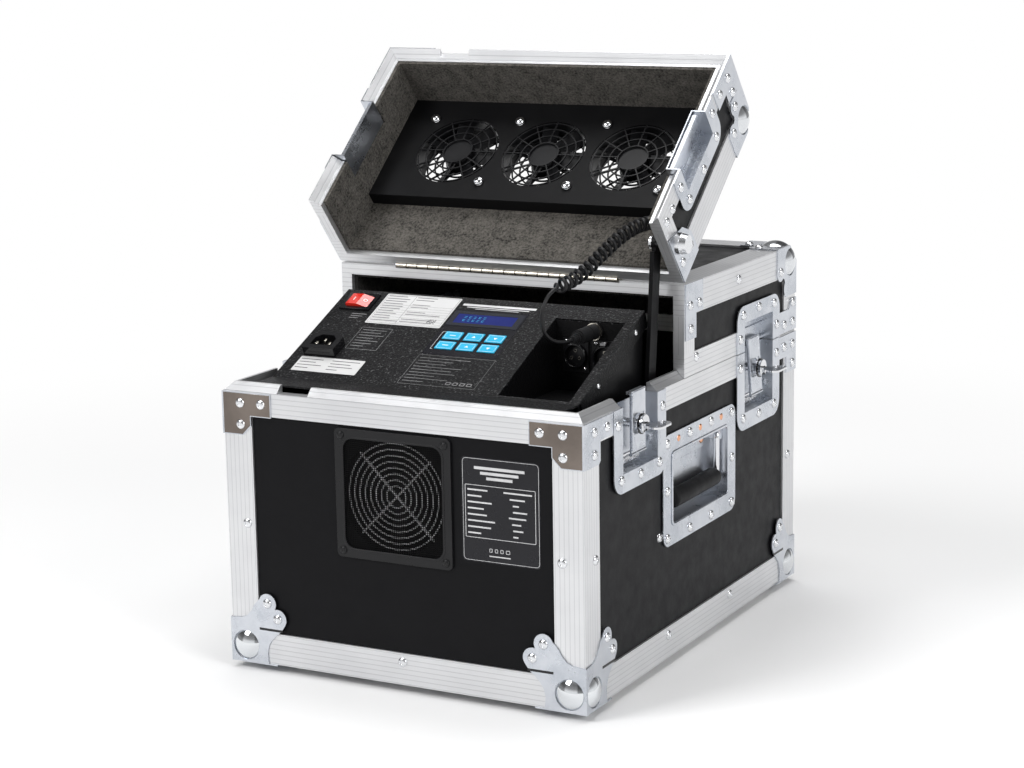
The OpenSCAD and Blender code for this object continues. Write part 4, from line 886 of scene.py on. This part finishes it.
# ---------------------------------------------------------------- sockets in the panel pocket
SOCKET_X = (284, 314)
rings, inserts, contacts, tabs = Shape(), Shape(), Shape(), Shape()
for cx in SOCKET_X:
    at = frame_at((cx, 159.4, 284), (0, -1, 0))
    collar = [(9.4, 1.0), (11.9, 1.0), (11.9, 3.2), (11.2, 4.0), (9.9, 4.0), (9.4, 3.4), (9.4, 1.0)]
    rings.lathe(collar, at, 36)
    inserts.lathe([(0, -0.9), (9.3, -0.9), (9.3, -0.2), (8.4, 0.4), (0, 0.4)], at, 32)
    for a in (90, 210, 330):
        q = at @ Matrix.Translation((4.6 * math.cos(math.radians(a)), 4.6 * math.sin(math.radians(a)), 0.4))
        contacts.lathe([(1.0, 0), (1.75, 0), (1.75, 0.5), (1.0, 0.5), (1.0, 0)], q, 16)
    tabs.box((cx - 3.2, 154.2, 295.4), (cx + 3.2, 158.4, 299.0))
rings.make("socket_rings", "gloss_black", "base", smooth=50, slot="black_plastic")
inserts.make("socket_inserts", "plastic", "base", smooth=50, slot="black_plastic")
contacts.make("socket_contacts", "nickel", "base", smooth=50, slot="bright_wire")
tabs.make("socket_tabs", "steel", "base", bevel=0.6, slot="bright_wire")


# ---------------------------------------------------------------- dark plated front brackets
plates = Shape()
front_plate = [(0.6, 218.8), (20.6, 218.8), (29.2, 227.4), (29.2, 236.8), (51.2, 236.8), (51.2, 257.2),
               (0.6, 257.2)]
TO_FRONT = Matrix.Rotation(math.radians(90), 4, "X")
for flip in (False, True):
    pts = [(W - a if flip else a, b) for a, b in front_plate]
    plates.prism(pts, PLATE, PLATE + 0.25, TO_FRONT)
plates.make("front_bracket_faces", "bronze_chrome", "base", bevel=0.1, slot="zinc")

# pressed slots in the lower corner brackets, drawn as near-black strips: painted shade in the pressed
# recesses
slots = Shape()
slot_start, slot_end, slot_low, slot_high, slot_top = 31, 56.5, 32.3, 34.6, PLATE + 0.15
for a0, a1 in ((slot_start, slot_end), (W - slot_end, W - slot_start)):
    slots.box((a0, slot_low, PLATE), (a1, slot_high, slot_top), TO_FRONT)
for a0, a1 in ((slot_start, slot_end), (D - slot_end, D - slot_start)):
    slots.box((-slot_top, a0, slot_low), (-PLATE, a1, slot_high))
    slots.box((W + PLATE, a0, slot_low), (W + slot_top, a1, slot_high))
slots.make("corner_slot_shade", "gloss_black", "base", slot="black_metal")


# ---------------------------------------------------------------- latch and handle details
# the hook's rolled lower end, on which it tilts while it is shut
HOOK_X, HOOK_Z, HOOK_TILT = 1.8, 211.0, 4.0


def latch(tag, y, shut, side, rightside):
    m = sided(rightside)
    strap = Shape()
    strap.box((0.2, y - 10.5, 246.5), (1.1, y + 10.5, 267.4))
    strap.box((0.2, y - 10.5, 214), (1.1, y + 10.5, 229))
    for s in (-1, 1):
        strap.box((0.2, y + s * 12 - 1.6, 214), (1.1, y + s * 12 + 1.6, 267.4))
    tilt = (m @ Matrix.Translation((HOOK_X, 0, HOOK_Z))
            @ Matrix.Rotation(math.radians(HOOK_TILT if shut else 0), 4, "Y")
            @ Matrix.Translation((-HOOK_X, 0, -HOOK_Z)))
    strap.make(f"latch_strap_{tag}_{side}", "zinc", f"latch_hook_{tag}_{side}", tilt, 0.4, slot="zinc")
    ring = Shape().lathe([(8.5, 0), (9.5, 0), (9.5, 1.2), (8.5, 1.2), (8.5, 0)],
                         frame_at((-1.9, y, 237), (-1, 0, 0)), 32)
    ring.make(f"latch_ring_{tag}_{side}", "gloss_black", f"latch_knob_{tag}_{side}", m, smooth=50,
              slot="black_metal")
    # the back of the dish: a plate, two rivet heads and the spring
    back = Shape()
    back.box((10.9, y - 20, 199.5), (11.95, y + 20, 209.5))
    for s in (-1, 1):
        back.lathe([(0, 3.0), (2.6, 2.8), (4.2, 1.9), (4.8, 0.6), (4.8, 0), (0, 0)],
                   frame_at((11.9, y + s * 27, 214), (-1, 0, 0)), 20)
    back.tube([(9.6 + 1.0 * math.cos(k * 0.8), y - 17 + k * 0.34, 204.5 + 2.6 * math.sin(k * 0.8))
               for k in range(101)], 0.45, 6)
    back.make(f"latch_back_{tag}_{side}", "chrome", "base", m, 0.3, smooth=50, slot="zinc")


def handle_dish(side, rightside):
    m = sided(rightside)
    lip, seat, studs = Shape(), Shape(), Shape()
    onto_side = Matrix(((0, 0, -1, 0), (1, 0, 0, 0), (0, 1, 0, 0), (0, 0, 0, 1)))
    ring_prism(lip, rounded(182.2, 124.2, 315.8, 195.8, 6, 5), rounded(184.6, 126.6, 313.4, 193.4, 4, 5),
               -0.05, 0.9, onto_side)
    lip.make(f"handle_lip_{side}", "zinc", "base", m, 0.4, slot="zinc")
    seat.box((16.2, 190.5, 176), (17.15, 307.5, 192.5))
    for s in (-1, 1):
        seat.box((4.5, HANDLE_Y + s * 60.5 - 3, 181), (16.5, HANDLE_Y + s * 60.5 + 3, 192.5))
    seat.make(f"handle_seat_{side}", "zinc", "base", m, 0.5, slot="zinc")
    for s in (-1, 1):
        studs.lathe([(0, 1.9), (2.2, 1.7), (3.6, 1.0), (4.0, 0), (0, 0)],
                    frame_at((16.2, HANDLE_Y + s * 38, 184.5), (-1, 0, 0)), 20)
    for s in (-1, 0, 1):
        studs.lathe([(0, 0.9), (1.8, 0.8), (3.0, 0.4), (3.3, 0), (0, 0)],
                    frame_at((0, HANDLE_Y + s * 50, 205.6), (-1, 0, 0)), 20)
    studs.make(f"handle_studs_{side}", "copper", "base", m, smooth=50, slot="rivet")


SIDES = (("left", False), ("right", True))
for tag, y, shut in (("front", FRONT_LATCH, False), ("rear", REAR_LATCH, True)):
    for side, rightside in SIDES:
        latch(tag, y, shut, side, rightside)
for side, rightside in SIDES:
    handle_dish(side, rightside)


# ---------------------------------------------------------------- side handles
def handle(name, rightside):
    """A bent wire bail with a rubber grip on its lower bar."""
    m = sided(rightside)
    reach, low, top, x, bend = 57.0, 146.0, 187.0, 8.0, 5.0
    end = HANDLE_Y - reach
    pts = [(x, end - 6, top), (x, end - 2, top), (x, end, top - 2), (x, end, top - 5), (x, end, low + 6)]
    pts += [(x, end + bend * (1 - math.cos(w)), low + bend * (1 - math.sin(w)))
            for w in (math.radians(a) for a in (15, 35, 55, 75, 90))]
    full = pts + [(p[0], 2 * HANDLE_Y - p[1], p[2]) for p in pts[::-1]]
    bail = Shape().tube(full, 3.1, 14)
    bail.make(f"{name}_bail", "chrome", name, m, smooth=60, slot="bright_wire", replaces=(name,))
    profile = [(0, -50), (7.6, -50), (8.6, -49), (8.9, -47), (8.9, 47), (8.6, 49), (7.6, 50), (0, 50)]
    grip = Shape().lathe(profile, frame_at((x, HANDLE_Y, low), (0, 1, 0)), 28)
    grip.make(f"{name}_grip", "rubber", name, m, smooth=50, slot="handle")


handle("handle_left", False)
handle("handle_right", True)


# ---------------------------------------------------------------- world, floor and light
scene = bpy.context.scene
scene.view_settings.view_transform = "Standard"


def smooth_range(t, value, from_min, from_max, to_min, to_max):
    n = t.nodes.new("ShaderNodeMapRange")
    n.interpolation_type = "SMOOTHSTEP"
    n.inputs["From Min"].default_value = from_min
    n.inputs["From Max"].default_value = from_max
    n.inputs["To Min"].default_value = to_min
    n.inputs["To Max"].default_value = to_max
    t.links.new(value, n.inputs["Value"])
    return n.outputs["Result"]


def studio(t):
    """White to the eye; in reflections a pale room with a dim ceiling and darker cards round it."""
    direction = t.nodes.new("ShaderNodeTexCoord").outputs["Generated"]
    x, y, z = split(t, direction)
    height = math_node(t, "MULTIPLY_ADD", z, 0.5, 0.5)
    levels = ramp(t, height, [(p, (c, c, c * 1.01)) for p, c in ((0.0, 0.62), (0.46, 0.70), (0.54, 0.95),
                                                                 (0.66, 0.30), (0.82, 0.16), (1.0, 0.40))])
    turn = math_node(t, "ARCTAN2", y, x)
    wave = math_node(t, "SINE", math_node(t, "MULTIPLY_ADD", turn, 3.0, 0.5))
    card = smooth_range(t, wave, -0.45, 0.15, 0.30, 1.0)
    room = t.nodes.new("ShaderNodeVectorMath")
    room.operation = "SCALE"
    t.links.new(levels, room.inputs[0])
    t.links.new(card, room.inputs["Scale"])
    to_camera = t.nodes.new("ShaderNodeLightPath").outputs["Is Camera Ray"]
    background = t.nodes["Background"]
    t.links.new(mix_color(t, to_camera, room.outputs[0], (1.0, 1.0, 1.0)), background.inputs["Color"])
    background.inputs["Strength"].default_value = 1.0


world = bpy.data.worlds.new("studio")
scene.world = world
world.use_nodes = True
studio(world.node_tree)


def floor_material():
    """Pale matt floor that fades into the white surroundings away from the case."""
    m, t, b = nodes_of("floor")
    b.inputs["Base Color"].default_value = (0.90, 0.90, 0.90, 1)
    b.inputs["Roughness"].default_value = 0.7
    b.inputs["Specular IOR Level"].default_value = 0.1
    reach = t.nodes.new("ShaderNodeVectorMath")
    reach.operation = "LENGTH"
    t.links.new(coords(t), reach.inputs[0])
    fade = smooth_range(t, reach.outputs["Value"], 0.35, 1.5, 0.0, 1.0)
    glow = t.nodes.new("ShaderNodeEmission")
    glow.inputs["Color"].default_value = (1, 1, 1, 1)
    both = t.nodes.new("ShaderNodeMixShader")
    t.links.new(fade, both.inputs["Fac"])
    t.links.new(b.outputs[0], both.inputs[1])
    t.links.new(glow.outputs[0], both.inputs[2])
    t.links.new(both.outputs[0], t.nodes["Material Output"].inputs["Surface"])
    return m


half = 30
floor_mesh = bpy.data.meshes.new("floor")
corners = [(-half, -half, 0), (half, -half, 0), (half, half, 0), (-half, half, 0)]
floor_mesh.from_pydata(corners, [], [(0, 1, 2, 3)])
floor_mesh.materials.append(floor_material())
floor = bpy.data.objects.new("floor", floor_mesh)
scene.collection.objects.link(floor)


def area_light(name, where, size, power):
    d = bpy.data.lights.new(name, "AREA")
    d.shape = "SQUARE"
    d.size = size
    d.energy = power
    o = bpy.data.objects.new(name, d)
    scene.collection.objects.link(o)
    o.location = where
    aim = Vector((0, 0, 0.2)) - Vector(where)
    o.rotation_euler = aim.to_track_quat("-Z", "Y").to_euler()


area_light("key", (-1.6, -2.4, 2.6), 1.4, 72)
area_light("fill", (2.6, -1.0, 1.5), 1.4, 36)
area_light("top", (0, 0.3, 3.0), 2.0, 60)
